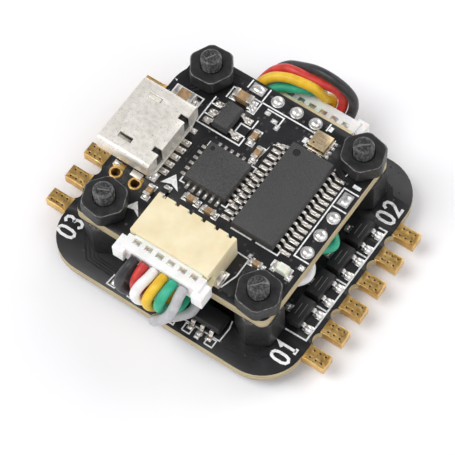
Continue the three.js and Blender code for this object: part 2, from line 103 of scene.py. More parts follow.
# ---------- finishes ----------
class Finish:
    """A Principled material whose colour, roughness and bump follow noise, measured in millimetres."""

    def __init__(self, name, roughness, metallic=0.0, **sockets):
        self.material = bpy.data.materials.new(name)
        self.material.use_nodes = True
        self.nodes = self.material.node_tree.nodes
        self.link = self.material.node_tree.links.new
        self.shader = self.nodes["Principled BSDF"]
        self.shader.inputs["Roughness"].default_value = roughness
        self.shader.inputs["Metallic"].default_value = metallic
        for socket, value in sockets.items():
            self.shader.inputs[socket.replace("_", " ")].default_value = value
        self.normal = None
        self.place = self.nodes.new("ShaderNodeTexCoord").outputs["Object"]

    def noise(self, size, detail=3.0, stretch=(1, 1, 1), distortion=0.0):
        mapping = self.nodes.new("ShaderNodeMapping")
        mapping.inputs["Scale"].default_value = [1 / (MM * size * s) for s in stretch]
        self.link(self.place, mapping.inputs["Vector"])
        noise = self.nodes.new("ShaderNodeTexNoise")
        noise.inputs["Scale"].default_value = 1.0
        noise.inputs["Detail"].default_value = detail
        noise.inputs["Distortion"].default_value = distortion
        self.link(mapping.outputs["Vector"], noise.inputs["Vector"])
        return noise.outputs["Fac"]

    def cells(self, size, metric="MANHATTAN"):
        mapping = self.nodes.new("ShaderNodeMapping")
        mapping.inputs["Scale"].default_value = [1 / (MM * size)] * 3
        self.link(self.place, mapping.inputs["Vector"])
        voronoi = self.nodes.new("ShaderNodeTexVoronoi")
        voronoi.distance = metric
        voronoi.feature = "F1"
        voronoi.inputs["Scale"].default_value = 1.0
        self.link(mapping.outputs["Vector"], voronoi.inputs["Vector"])
        return voronoi.outputs["Color"]

    def edges(self):
        return self.nodes.new("ShaderNodeNewGeometry").outputs["Pointiness"]

    def ramp(self, factor, low, high, start, end):
        ramp = self.nodes.new("ShaderNodeValToRGB")
        ramp.color_ramp.elements[0].position = start
        ramp.color_ramp.elements[0].color = (*low, 1)
        ramp.color_ramp.elements[1].position = end
        ramp.color_ramp.elements[1].color = (*high, 1)
        self.link(factor, ramp.inputs["Fac"])
        return ramp.outputs["Color"]

    def color(self, factor, low, high, start=0.35, end=0.65):
        self.link(self.ramp(factor, low, high, start, end), self.shader.inputs["Base Color"])
        return self

    def over(self, factor, color, start, end):
        """Paints a colour over what is there, where the factor is high."""
        base = self.shader.inputs["Base Color"]
        under = base.links[0].from_socket
        mix = self.nodes.new("ShaderNodeMix")
        mix.data_type = "RGBA"
        self.link(self.ramp(factor, (0, 0, 0), (1, 1, 1), start, end), mix.inputs["Factor"])
        self.link(under, mix.inputs["A"])
        mix.inputs["B"].default_value = (*color, 1)
        self.link(mix.outputs["Result"], base)
        return self

    def rough(self, factor, low, high, start=0.3, end=0.7):
        spread = self.ramp(factor, (low,) * 3, (high,) * 3, start, end)
        self.link(spread, self.shader.inputs["Roughness"])
        return self

    def bump(self, factor, height, strength=1.0):
        bump = self.nodes.new("ShaderNodeBump")
        bump.inputs["Distance"].default_value = height * MM
        bump.inputs["Strength"].default_value = strength
        self.link(factor, bump.inputs["Height"])
        if self.normal:
            self.link(self.normal, bump.inputs["Normal"])
        self.normal = bump.outputs["Normal"]
        self.link(self.normal, self.shader.inputs["Normal"])
        return self


def make_finishes():
    made = {}

    def new(name, *args, **sockets):
        made[name] = Finish(name, *args, **sockets)
        return made[name]

    mask = new("solder_mask", 0.34, Coat_Weight=0.25, Coat_Roughness=0.2)
    mask.color(mask.noise(1.2), (0.0045, 0.0045, 0.0055), (0.0095, 0.0095, 0.011))
    mask.rough(mask.noise(2.5), 0.26, 0.44)
    mask.bump(mask.cells(1.3), 0.012, 0.55).bump(mask.noise(0.09), 0.004, 0.5)

    trace = new("covered_copper", 0.3, Coat_Weight=0.25, Coat_Roughness=0.2)
    trace.color(trace.noise(0.8), (0.012, 0.012, 0.013), (0.024, 0.024, 0.026))
    trace.bump(trace.noise(0.1), 0.004, 0.4)

    via = new("covered_via", 0.36)
    via.color(via.noise(0.4), (0.03, 0.029, 0.028), (0.075, 0.073, 0.07)).bump(via.noise(0.08), 0.004, 0.4)

    fibre = new("glass_fibre_edge", 0.62)
    fibre.color(fibre.noise(0.5, 4, (6, 6, 0.25)), (0.30, 0.235, 0.12), (0.62, 0.53, 0.33), 0.3, 0.72)
    fibre.bump(fibre.noise(0.12, 2, (3, 3, 0.6)), 0.02, 0.6)

    paint = new("white_print", 0.5)
    paint.color(paint.noise(0.25), (0.58, 0.59, 0.58), (0.9, 0.91, 0.9), 0.3, 0.5)
    paint.bump(paint.noise(0.1), 0.01, 0.5)

    gold = new("gold_plate", 0.34, 1.0)
    gold.color(gold.noise(0.7), (0.66, 0.40, 0.12), (0.85, 0.57, 0.22))
    gold.rough(gold.noise(0.3), 0.26, 0.46).bump(gold.noise(0.08), 0.006, 0.7)

    tin = new("solder", 0.3, 0.85)
    tin.color(tin.noise(0.5), (0.80, 0.79, 0.77), (0.96, 0.95, 0.93))
    tin.rough(tin.noise(0.35), 0.22, 0.4).bump(tin.noise(0.3, 2), 0.007, 0.6)

    lead = new("tinned_contact", 0.28, 1.0)
    lead.color(lead.noise(0.4), (0.72, 0.68, 0.61), (0.95, 0.91, 0.85))
    lead.rough(lead.noise(0.3), 0.26, 0.46).bump(lead.noise(0.1), 0.005, 0.6)

    steel = new("plated_steel", 0.42, 0.6)
    steel.color(steel.noise(0.9, 5), (0.84, 0.80, 0.71), (0.96, 0.93, 0.86), 0.3, 0.7)
    steel.over(steel.noise(0.13, 2), (0.50, 0.46, 0.37), 0.6, 0.72)
    steel.rough(steel.noise(0.35, 4), 0.36, 0.54)
    steel.bump(steel.noise(0.09, 3), 0.006, 0.6).bump(steel.noise(0.12, 3, (7, 1, 3), 1.2), 0.004, 0.4)

    cream = new("cream_plastic", 0.5, Subsurface_Weight=0.25, Subsurface_Scale=0.0006)
    cream.color(cream.noise(2.0), (0.80, 0.685, 0.43), (0.89, 0.79, 0.545))
    cream.bump(cream.noise(0.12, 2), 0.006, 0.5)

    white = new("white_plastic", 0.42, Subsurface_Weight=0.35, Subsurface_Scale=0.0008)
    white.color(white.noise(1.2), (0.86, 0.85, 0.84), (0.95, 0.945, 0.935))
    white.bump(white.noise(0.2, 2), 0.006, 0.4)

    epoxy = new("moulding_compound", 0.55)
    epoxy.color(epoxy.noise(0.07, 2), (0.022, 0.0215, 0.0215), (0.095, 0.092, 0.09), 0.3, 0.78)
    epoxy.rough(epoxy.noise(0.8), 0.46, 0.62).bump(epoxy.noise(0.07, 2), 0.014, 0.8)

    glossy = new("black_package", 0.4)
    glossy.color(glossy.noise(0.1, 2), (0.008, 0.008, 0.009), (0.022, 0.022, 0.023), 0.3, 0.75)
    glossy.bump(glossy.noise(0.08, 2), 0.008, 0.7)

    nylon = new("black_nylon", 0.42)
    nylon.color(nylon.noise(0.5, 4), (0.009, 0.009, 0.0095), (0.021, 0.021, 0.0215), 0.3, 0.7)
    nylon.rough(nylon.noise(0.6), 0.36, 0.54).bump(nylon.noise(0.25, 5), 0.018, 0.5)

    # Light grey for the nuts' top rim strip: a painted rim highlight, partly chamfer wear.
    worn = new("rim_highlight_wear_nylon", 0.5)
    worn.color(worn.noise(0.35, 4), (0.05, 0.05, 0.05), (0.2, 0.2, 0.195), 0.35, 0.65)

    thread = new("nylon_thread", 0.38)
    streaks = thread.noise(0.3, 4, (0.55, 0.55, 2.2))
    thread.color(streaks, (0.014, 0.014, 0.014), (0.13, 0.13, 0.125), 0.44, 0.72)
    thread.over(thread.edges(), (0.17, 0.17, 0.165), 0.53, 0.64)
    thread.bump(thread.noise(0.16, 5), 0.05, 0.6)

    lid = new("gold_lid", 0.33, 1.0)
    lid.color(lid.noise(0.6), (0.76, 0.58, 0.34), (0.91, 0.75, 0.50))
    lid.rough(lid.noise(0.2), 0.28, 0.44).bump(lid.noise(0.06), 0.005, 0.6)

    ceramic = new("ceramic", 0.5)
    ceramic.color(ceramic.noise(0.3, 3, (1, 1, 0.2)), (0.29, 0.175, 0.085), (0.46, 0.30, 0.155))
    ceramic.bump(ceramic.noise(0.12, 3), 0.012, 0.6)

    lamp = new("lamp_body", 0.32, Subsurface_Weight=0.3, Subsurface_Scale=0.0004)
    lamp.color(lamp.noise(0.5), (0.84, 0.81, 0.66), (0.94, 0.92, 0.82))
    lamp.bump(lamp.noise(0.15), 0.006, 0.4)

    # Near-black for holes: painted shade standing in for the dark insides of holes.
    hole = new("hole_shade_black", 0.7)
    hole.color(hole.noise(0.2), (0.002, 0.0018, 0.0015), (0.008, 0.007, 0.005))

    silicones = {
        "black": ((0.016, 0.016, 0.017), (0.034, 0.034, 0.036)),
        "red": ((0.52, 0.028, 0.022), (0.70, 0.052, 0.042)),
        "white": ((0.80, 0.79, 0.78), (0.90, 0.89, 0.88)),
        "yellow": ((0.74, 0.44, 0.012), (0.86, 0.56, 0.03)),
        "green": ((0.018, 0.36, 0.20), (0.04, 0.47, 0.285)),
        "grey": ((0.40, 0.40, 0.415), (0.52, 0.52, 0.535)),
    }
    for shade, (low, high) in silicones.items():
        silicone = new(f"silicone_{shade}", 0.42, Subsurface_Weight=0.12, Subsurface_Scale=0.0004,
                       Sheen_Weight=0.08)
        silicone.color(silicone.noise(0.8), low, high)
        silicone.rough(silicone.noise(0.3), 0.36, 0.5).bump(silicone.noise(0.1, 3), 0.006, 0.5)
    return {name: finish.material for name, finish in made.items()}


FINISHES = make_finishes()


# ---------- mesh building ----------
def box_rings(x, y, width, depth, levels):
    """Rectangles at each (height, inset) of the levels, centred on x and y."""
    rings = []
    for z, inset in levels:
        a, b = width / 2 - inset, depth / 2 - inset
        rings.append([(x - a, y - b, z), (x + a, y - b, z), (x + a, y + b, z), (x - a, y + b, z)])
    return rings


def face_outwards(mesh):
    work = bmesh.new()
    work.from_mesh(mesh)
    bmesh.ops.recalc_face_normals(work, faces=work.faces)
    work.to_mesh(mesh)
    work.free()


class Piece:
    """Points and faces of one object, in millimetres from a level of the stack."""

    def __init__(self, level=CONTROLLER, x=0.0, y=0.0, turn=0.0):
        self.frame = Matrix.Translation(level + Vector((x, y, 0))) @ Matrix.Rotation(turn, 4, "Z")
        self.points = []
        self.faces = []
        self.marks = []

    def add(self, points, faces, mark=0):
        first = len(self.points)
        self.points += [Vector(p) for p in points]
        self.faces += [[first + i for i in face] for face in faces]
        self.marks += [mark] * len(faces)

    def loft(self, rings, mark=0, closed=False):
        count = len(rings[0])
        total = len(rings)
        faces = []
        for r in range(total if closed else total - 1):
            here, there = r * count, (r + 1) % total * count
            for k in range(count):
                n = (k + 1) % count
                faces.append([here + k, here + n, there + n, there + k])
        if not closed:
            faces.append(list(range(count))[::-1])
            faces.append(list(range((total - 1) * count, total * count)))
        self.add([p for ring in rings for p in ring], faces, mark)

    def block(self, x, y, z, width, depth, height, mark=0, taper=0.0):
        """A box standing on z, centred on x and y, its top drawn in by taper on each side."""
        self.loft(box_rings(x, y, width, depth, ((z, 0), (z + height, taper))), mark)

    def prism(self, loops, bottom, top, mark=0, wall=0):
        """An outline with holes, from bottom to top."""
        flat = [Vector((x, y, 0)) for loop in loops for x, y in loop]
        triangles = tessellate_polygon([[Vector((x, y, 0)) for x, y in loop] for loop in loops])
        count = len(flat)
        points = [(p.x, p.y, z) for z in (bottom, top) for p in flat]
        self.add(points, [list(t) for t in triangles] + [[i + count for i in t] for t in triangles], mark)
        first = len(self.points) - 2 * count
        start = 0
        for loop in loops:
            for k in range(len(loop)):
                a, b = first + start + k, first + start + (k + 1) % len(loop)
                self.faces.append([a, b, b + count, a + count])
                self.marks.append(wall)
            start += len(loop)

    def strip(self, line, width, z, height=0.03, mark=0):
        """A flat line of that width along the points, with mitred corners."""
        rings = []
        for k, (x, y) in enumerate(line):
            here = Vector((x, y))
            before = (here - Vector(line[k - 1])).normalized() if k else None
            after = (Vector(line[k + 1]) - here).normalized() if k < len(line) - 1 else None
            before, after = before or after, after or before
            middle = (before + after).normalized()
            side = Vector((-middle.y, middle.x)) * (width / 2 / max(0.35, middle.dot(after)))
            a, b = here + side, here - side
            rings.append([(a.x, a.y, z), (a.x, a.y, z + height), (b.x, b.y, z + height), (b.x, b.y, z)])
        self.loft(rings, mark)

    def dome(self, x, y, z, across, along, height, mark=0, lean=0.0):
        """A drop of solder: an ellipse at z, rounded over to its height."""
        rings = []
        for step in range(6):
            angle = step / 5.6 * math.pi / 2
            size, rise = math.cos(angle) ** 0.7, math.sin(angle)
            centre, wide, deep = x + lean * rise, across / 2 * size, along / 2 * size
            rings.append([
                (centre + wide * math.cos(a), y + deep * math.sin(a), z + height * rise)
                for a in (k * math.pi / 8 for k in range(16))])
        self.loft(rings, mark)

    def tube(self, line, radius, sides=20, mark=0):
        points = [Vector(p) for p in line]
        rings = []
        side = None
        for k, p in enumerate(points):
            ahead = (points[min(k + 1, len(points) - 1)] - points[max(k - 1, 0)]).normalized()
            side = side or ahead.orthogonal().normalized()
            side = (side - ahead * side.dot(ahead)).normalized()
            other = ahead.cross(side)
            rings.append([p + (side * math.cos(a) + other * math.sin(a)) * radius
                          for a in (i * 2 * math.pi / sides for i in range(sides))])
        self.loft(rings, mark)

    def turned(self, rows, sides=96, mark=0, closed=False):
        """A solid about Z. Each row is (radius, height), where either may be a function of the angle."""
        def value(v, angle):
            return v(angle) if callable(v) else v
        angles = [k * 2 * math.pi / sides for k in range(sides)]
        self.loft([[(value(r, a) * math.cos(a), value(r, a) * math.sin(a), value(z, a)) for a in angles]
                   for r, z in rows], mark, closed)

    def grid(self, xs, ys, zs, filled, mark=0):
        """The outside of the filled cells of a grid of boxes."""
        xs, ys, zs = (sorted(set(round(v, 4) for v in values)) for values in (xs, ys, zs))
        middle = [[(a + b) / 2 for a, b in zip(values, values[1:])] for values in (xs, ys, zs)]
        full = {(i, j, k) for i, x in enumerate(middle[0]) for j, y in enumerate(middle[1])
                for k, z in enumerate(middle[2]) if filled(x, y, z)}
        index, points, faces = {}, [], []

        def corner(i, j, k):
            if (i, j, k) not in index:
                index[i, j, k] = len(points)
                points.append((xs[i], ys[j], zs[k]))
            return index[i, j, k]

        for i, j, k in sorted(full):
            for axis in range(3):
                for step in (0, 1):
                    beside = [i, j, k]
                    beside[axis] += 2 * step - 1
                    if tuple(beside) in full:
                        continue
                    face = []
                    for u, v in ((0, 0), (1, 0), (1, 1), (0, 1)):
                        place = [i, j, k]
                        place[axis] += step
                        place[(axis + 1) % 3] += u
                        place[(axis + 2) % 3] += v
                        face.append(corner(*place))
                    faces.append(face if step else face[::-1])
        self.add(points, faces, mark)

    def make(self, name, finishes, body="stack", replaces=(), bevel=0.0, smooth=28):
        mesh = bpy.data.meshes.new(name)
        mesh.from_pydata([self.frame @ p * MM for p in self.points], [], self.faces)
        for finish in finishes:
            mesh.materials.append(FINISHES[finish])
        mesh.polygons.foreach_set("material_index", self.marks)
        face_outwards(mesh)
        thing = bpy.data.objects.new(name, mesh)
        bpy.context.scene.collection.objects.link(thing)
        if bevel:
            modifier = thing.modifiers.new("edge", "BEVEL")
            modifier.width = bevel * MM
            modifier.segments = 2
            modifier.limit_method = "ANGLE"
            modifier.angle_limit = math.radians(32)
            settle(thing)
        thing.data.polygons.foreach_set("use_smooth", [True] * len(thing.data.polygons))
        thing.data.set_sharp_from_angle(angle=math.radians(smooth))
        if replaces:
            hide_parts(*([replaces] if isinstance(replaces, str) else replaces))
        if body:
            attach(thing, body)
        return thing


def settle(thing):
    """Applies an object's modifiers."""
    shaped = bpy.data.meshes.new_from_object(thing.evaluated_get(bpy.context.evaluated_depsgraph_get()))
    thing.modifiers.clear()
    thing.data = shaped


def arc(x, y, radius, start, end, steps):
    """Points of an arc, its angles in degrees."""
    angles = (math.radians(start + (end - start) * k / steps) for k in range(steps + 1))
    return [(x + radius * math.cos(a), y + radius * math.sin(a)) for a in angles]


def circle(x, y, radius, sides=32):
    return arc(x, y, radius, 0, 360 * (sides - 1) / sides, sides - 1)


def node_box(node, level):
    """A CAD node's middle in x and y, its lowest z, and its size, from that level."""
    low, high = (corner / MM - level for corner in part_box(node))
    size = high - low
    return (low.x + high.x) / 2, (low.y + high.y) / 2, low.z, size.x, size.y, size.z


# ---------- lead harness ----------
LEAD_RADIUS = 0.46
LEAD_SPLIT_Y = 8.0
LEADS = {
    "black": [
        (-2.37, -11.28, 1.37), (-2.45, -12.0, 1.25), (-2.75, -12.75, 0.5), (-2.9, -13.1, -0.6),
        (-2.6, -12.95, -1.7), (-2.2, -12.2, -2.7), (-2.1, -11.0, -3.55), (-2.4, -9.4, -3.8),
        (-2.9, -7.5, -4.0), (-4.2, -4.0, -4.6), (-5.0, 0.0, -4.65), (-5.0, 4.0, -4.65), (-5.0, 8.0, -4.65),
        (-5.1, 10.3, -4.5), (-5.1, 11.8, -4.0), (-4.6, 12.9, -3.1), (-3.6, 13.5, -2.0),
        (-2.2, 13.67, -1.2), (-0.6, 13.67, -0.4), (1.0, 13.6, -0.15), (2.4, 13.6, -0.6),
        (3.2, 13.67, -1.6), (3.42, 13.6, -2.7), (3.4, 13.4, -3.5), (3.4, 13.0, -3.82), (3.4, 12.6, -3.83),
    ],
    "red": [
        (-1.37, -11.28, 1.37), (-1.4, -11.9, 1.2), (-1.5, -12.5, 0.45), (-1.5, -12.7, -0.5),
        (-1.35, -12.4, -1.5), (-1.15, -11.8, -2.5), (-1.1, -11.0, -3.3), (-1.4, -9.4, -3.7),
        (-1.9, -7.5, -3.7), (-3.3, -3.5, -3.6), (-4.8, 0.5, -3.6), (-5.0, 4.0, -3.6), (-5.0, 8.0, -3.6),
        (-5.0, 10.0, -3.4), (-4.95, 11.3, -2.9), (-4.35, 12.2, -1.95), (-3.3, 12.65, -1.1),
        (-2.2, 12.75, -0.8), (-1.0, 12.9, -0.9), (0.6, 13.2, -1.05), (1.6, 13.5, -1.45),
        (2.25, 13.6, -2.3), (2.4, 13.45, -3.2), (2.4, 13.0, -3.8), (2.4, 12.6, -3.83),
    ],
    "white": [
        (-0.37, -11.28, 1.37), (-0.42, -12.2, 1.45), (-0.65, -13.1, 1.2), (-0.8, -13.6, 0.5),
        (-0.65, -13.55, -0.4), (-0.4, -13.0, -1.3), (-0.15, -12.2, -2.2), (-0.1, -11.0, -3.4),
        (-0.3, -9.4, -4.2), (-0.1, -8.4, -4.6), (1.0, -7.3, -4.7), (2.6, -6.4, -4.7), (4.8, -5.4, -4.4),
        (6.8, -4.6, -3.6), (8.5, -3.9, -3.15), (9.35, -2.7, -3.1), (9.0, -1.7, -3.1), (8.0, -1.15, -3.15),
        (6.4, -1.2, -3.7), (4.8, -1.1, -4.5), (2.5, -0.5, -4.7), (-0.5, 1.0, -4.7), (-2.8, 3.2, -4.7),
        (-3.8, 5.5, -4.65), (-3.9, 8.0, -4.65), (-4.0, 9.5, -4.4), (-4.3, 10.9, -3.95), (-4.2, 11.8, -3.3),
        (-3.6, 12.5, -2.45), (-2.8, 13.1, -2.4), (-2.0, 13.5, -2.9), (-1.62, 13.45, -3.5),
        (-1.6, 13.0, -3.82), (-1.6, 12.6, -3.83),
    ],
    "yellow": [
        (0.63, -11.28, 1.37), (0.6, -12.2, 1.4), (0.45, -13.0, 1.0), (0.3, -13.45, 0.2),
        (0.35, -13.4, -0.7), (0.55, -12.9, -1.6), (0.8, -12.1, -2.4), (0.85, -11.0, -3.3),
        (0.7, -9.4, -3.6), (0.4, -7.5, -3.5), (-1.5, -3.5, -3.2), (-3.6, 1.0, -2.6), (-4.9, 4.0, -2.55),
        (-5.0, 8.0, -2.55), (-4.7, 9.8, -1.9), (-3.9, 11.0, -1.0), (-2.6, 11.6, -0.55),
        (-1.0, 11.95, -0.5), (0.2, 12.25, -0.9), (1.0, 12.6, -2.1), (1.35, 13.25, -2.9), (1.4, 13.3, -3.5),
        (1.4, 13.0, -3.82), (1.4, 12.6, -3.83),
    ],
    "green": [
        (1.63, -11.28, 1.37), (1.6, -12.1, 1.4), (1.5, -12.85, 1.05), (1.4, -13.25, 0.3),
        (1.4, -13.15, -0.55), (1.55, -12.7, -1.4), (1.8, -11.9, -2.2), (1.9, -11.0, -3.0),
        (1.8, -9.4, -3.5), (2.4, -7.5, -3.4), (3.4, -4.5, -3.2), (3.9, -1.6, -3.15), (5.4, -0.15, -3.1),
        (7.4, 0.0, -3.1), (8.9, 0.25, -3.1), (9.55, 1.1, -3.1), (8.9, 1.95, -3.1), (7.2, 2.4, -3.1),
        (4.0, 2.9, -3.1), (0.5, 3.4, -3.0), (-2.2, 4.4, -2.7), (-3.7, 6.0, -2.55), (-3.9, 8.0, -2.55),
        (-3.7, 9.8, -2.0), (-3.0, 10.9, -1.75), (-1.8, 11.6, -1.65), (-0.5, 12.4, -1.9), (0.2, 13.1, -2.6),
        (0.4, 13.3, -3.3), (0.4, 13.0, -3.82), (0.4, 12.6, -3.83),
    ],
    "grey": [
        (2.63, -11.28, 1.37), (2.7, -12.1, 1.3), (2.75, -12.9, 0.7), (2.5, -13.55, -0.2),
        (1.9, -13.9, -1.0), (1.25, -13.9, -1.9), (0.95, -13.4, -2.75), (1.4, -12.6, -3.3),
        (2.2, -11.7, -3.6), (2.85, -10.7, -3.6), (2.7, -9.3, -3.0), (2.1, -7.6, -2.3), (1.0, -6.0, -2.0),
        (0.0, -4.7, -1.95), (-1.0, -1.5, -2.2), (-1.6, 1.0, -2.9), (-2.6, 3.4, -3.6), (-3.8, 6.0, -3.6),
        (-3.9, 8.0, -3.6), (-4.1, 10.2, -3.1), (-3.7, 11.3, -2.1), (-2.8, 11.95, -1.75),
        (-1.5, 13.2, -1.85), (-0.7, 13.45, -2.6), (-0.6, 13.35, -3.4), (-0.6, 13.0, -3.82),
        (-0.6, 12.6, -3.83),
    ],
}


def smooth_line(points, steps=7):
    """A centripetal Catmull-Rom curve through the points."""
    points = [Vector(p) for p in points]
    padded = [points[0] * 2 - points[1], *points, points[-1] * 2 - points[-2]]
    line = [points[0]]
    for a, b, c, d in zip(padded, padded[1:], padded[2:], padded[3:]):
        t1 = (b - a).length ** 0.5
        t2 = t1 + (c - b).length ** 0.5
        t3 = t2 + (d - c).length ** 0.5
        for k in range(1, steps + 1):
            t = t1 + (t2 - t1) * k / steps
            p1, p2, p3 = a.lerp(b, t / t1), b.lerp(c, (t - t1) / (t2 - t1)), c.lerp(d, (t - t2) / (t3 - t2))
            q1, q2 = p1.lerp(p2, t / t2), p2.lerp(p3, (t - t1) / (t3 - t1))
            line.append(q1.lerp(q2, (t - t1) / (t2 - t1)))
    return line


def make_leads():
    """Each lead is two halves, one from each plug, that meet out of sight between the boards."""
    for shade, route in LEADS.items():
        split = next(k for k, p in enumerate(route) if p[1] == LEAD_SPLIT_Y)
        for end, part in (("front", route[:split + 1]), ("rear", route[split:])):
            piece = Piece(CONTROLLER)
            piece.tube(smooth_line(part), LEAD_RADIUS)
            node = f"lead_{shade}"
            half = piece.make(f"{node}_{end}_half", [f"silicone_{shade}"], body=None,
                              replaces=node, smooth=60)
            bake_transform(half)


make_leads()


# ---------- boards ----------
TAB_PITCH = 2.83
TAB_COUNT = 6
TAB_WIDTH = 1.4
TAB_REACH = 14.8
TAB_ROW_Y = -0.4 - PATTERN_Y
NOTCH_RADIUS = (TAB_PITCH - TAB_WIDTH) / 2
NOTCH_X = 12.4 + NOTCH_RADIUS
PLATING = 0.03


def tab_places():
    return [TAB_ROW_Y + (k - (TAB_COUNT - 1) / 2) * TAB_PITCH for k in range(TAB_COUNT)]


def driver_outline():
    """The driver board's edge, anticlockwise from its front right corner."""
    half_x, low, high, corner = 12.6, -12.25 - PATTERN_Y, 12.25 - PATTERN_Y, 4.0
    reach, slim = TAB_REACH - PLATING, TAB_WIDTH / 2 - PLATING
    edge = arc(half_x - corner, low + corner, corner, -90, 0, 12)
    middles = tab_places()
    side = []
    for k, y in enumerate(middles):
        side.append((half_x if k == 0 else NOTCH_X, y - slim))
        side += [(reach, y - slim), (reach, y + slim)]
        side.append((half_x if k == TAB_COUNT - 1 else NOTCH_X, y + slim))
        if k < TAB_COUNT - 1:
            side += arc(NOTCH_X, y + TAB_PITCH / 2, NOTCH_RADIUS, 270, 90, 10)
    edge += side + arc(half_x - corner, high - corner, corner, 0, 90, 12)
    edge += arc(-half_x + corner, high - corner, corner, 90, 180, 12)
    edge += [(-x, y) for x, y in reversed(side)]
    return edge + arc(-half_x + corner, low + corner, corner, 180, 270, 12)


def make_driver_board():
    thickness = DRIVER_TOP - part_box("motor_driver_board")[0].z / MM
    piece = Piece(DRIVER)
    holes = [circle(x, y, 1.1)[::-1] for x, y, _ in CORNERS.values()]
    piece.prism([driver_outline(), *holes], -thickness, 0, 0, 1)
    piece.make("driver_board_laminate", ["solder_mask", "glass_fibre_edge"],
               replaces="motor_driver_board", bevel=0.05)
    gold = Piece(DRIVER)
    for side in (-1, 1):
        for y in tab_places():
            inner, outer, half = 12.62, TAB_REACH, TAB_WIDTH / 2
            loop = [(inner, y - 0.8), (inner + 0.5, y - half), (outer, y - half),
                    (outer, y + half), (inner + 0.5, y + half), (inner, y + 0.8)]
            vias = [circle(13.2 + 0.58 * i, y + 0.37 * j, 0.1, 10)[::-1] for i in range(3) for j in (-1, 1)]
            loops = [[(side * a, b) for a, b in one] for one in (loop, *vias)]
            if side < 0:
                loops = [one[::-1] for one in loops]
            gold.prism(loops, -thickness - PLATING, PLATING, 0, 0)
            # Near-black blocks in the via holes: painted shade for the holes' insides.
            for i in range(3):
                x = side * (13.2 + 0.58 * i)
                for j in (-1, 1):
                    gold.block(x, y + 0.37 * j, -thickness + 0.1, 0.2, 0.2, thickness - 0.35, 1)
    gold.make("driver_board_tabs", ["gold_plate", "hole_shade_black"], bevel=0.03)
    hole_rings(DRIVER, "driver_board_hole_rings", -thickness)


def hole_rings(level, name, bottom):
    """A plated ring round each screw hole, on both faces."""
    piece = Piece(level)
    for x, y, _ in CORNERS.values():
        for z in (bottom - 0.02, -0.02):
            piece.prism([circle(x, y, 1.75, 48), circle(x, y, 1.12, 32)[::-1]], z, z + 0.04)
    piece.make(name, ["covered_copper"])


RING_HOLES = [(-9.2, -4.85), (-7.15, -4.85)]


def make_controller_board():
    low, high = (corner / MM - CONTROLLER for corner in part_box("controller_board"))
    corner = 0.8
    outline = (arc(high.x - corner, low.y + corner, corner, -90, 0, 6)
               + arc(high.x - corner, high.y - corner, corner, 0, 90, 6)
               + arc(low.x + corner, high.y - corner, corner, 90, 180, 6)
               + arc(low.x + corner, low.y + corner, corner, 180, 270, 6))
    holes = [circle(x, y, 1.1)[::-1] for x, y, _ in CORNERS.values()]
    holes += [circle(x, y, 0.46, 20)[::-1] for x, y in RING_HOLES]
    piece = Piece(CONTROLLER)
    piece.prism([outline, *holes], low.z, 0, 0, 1)
    piece.make("controller_board_laminate", ["solder_mask", "glass_fibre_edge"],
               replaces="controller_board", bevel=0.05)
    rings = Piece(CONTROLLER)
    for x, y in RING_HOLES:
        loops = [circle(x, y, 0.62, 28), circle(x, y, 0.42, 20)[::-1]]
        rings.prism(loops, low.z - 0.03, 0.06)
    rings.make("ring_hole_plating", ["gold_plate"], bevel=0.04)
    hole_rings(CONTROLLER, "controller_board_hole_rings", low.z)


make_driver_board()
make_controller_board()


# ---------- board surfaces ----------
def rectangle(x0, y0, x1, y1):
    return [(x0, y0), (x1, y0), (x1, y1), (x0, y1), (x0, y0)]


def chip_brackets(x, y, half_x, half_y, arm):
    """A corner mark at each corner of a square chip."""
    return [[(x + i * (half_x - arm), y + j * half_y), (x + i * half_x, y + j * half_y),
             (x + i * half_x, y + j * (half_y - arm))] for i in (-1, 1) for j in (-1, 1)]


DIGITS = {
    "0": [[(0.5, 1.0), (0.2, 0.92), (0.06, 0.7), (0.06, 0.3), (0.2, 0.08), (0.5, 0.0), (0.8, 0.08),
           (0.94, 0.3), (0.94, 0.7), (0.8, 0.92), (0.49, 1.0)]],
    "1": [[(0.15, 0.75), (0.5, 1.0), (0.5, 0.0)], [(0.15, 0.0), (0.85, 0.0)]],
    "2": [[(0.08, 0.78), (0.22, 0.95), (0.5, 1.0), (0.8, 0.92), (0.9, 0.7), (0.78, 0.48), (0.1, 0.0),
           (0.92, 0.0)]],
    "3": [[(0.1, 0.88), (0.35, 1.0), (0.7, 0.97), (0.88, 0.78), (0.75, 0.57), (0.45, 0.52)],
          [(0.45, 0.52), (0.8, 0.45), (0.92, 0.24), (0.75, 0.05), (0.4, 0.0), (0.08, 0.14)]],
    "4": [[(0.7, 0.0), (0.7, 1.0), (0.05, 0.3), (0.98, 0.3)]],
}


def digit_lines(digit, x, y, size, turn):
    """A digit's strokes with its middle at x and y, reading along the direction of turn."""
    c, s = math.cos(turn), math.sin(turn)
    lines = []
    for stroke in DIGITS[digit]:
        local = [((a - 0.5) * size * 0.5, (b - 0.5) * size) for a, b in stroke]
        lines.append([(x + a * c - b * s, y + a * s + b * c) for a, b in local])
    return lines


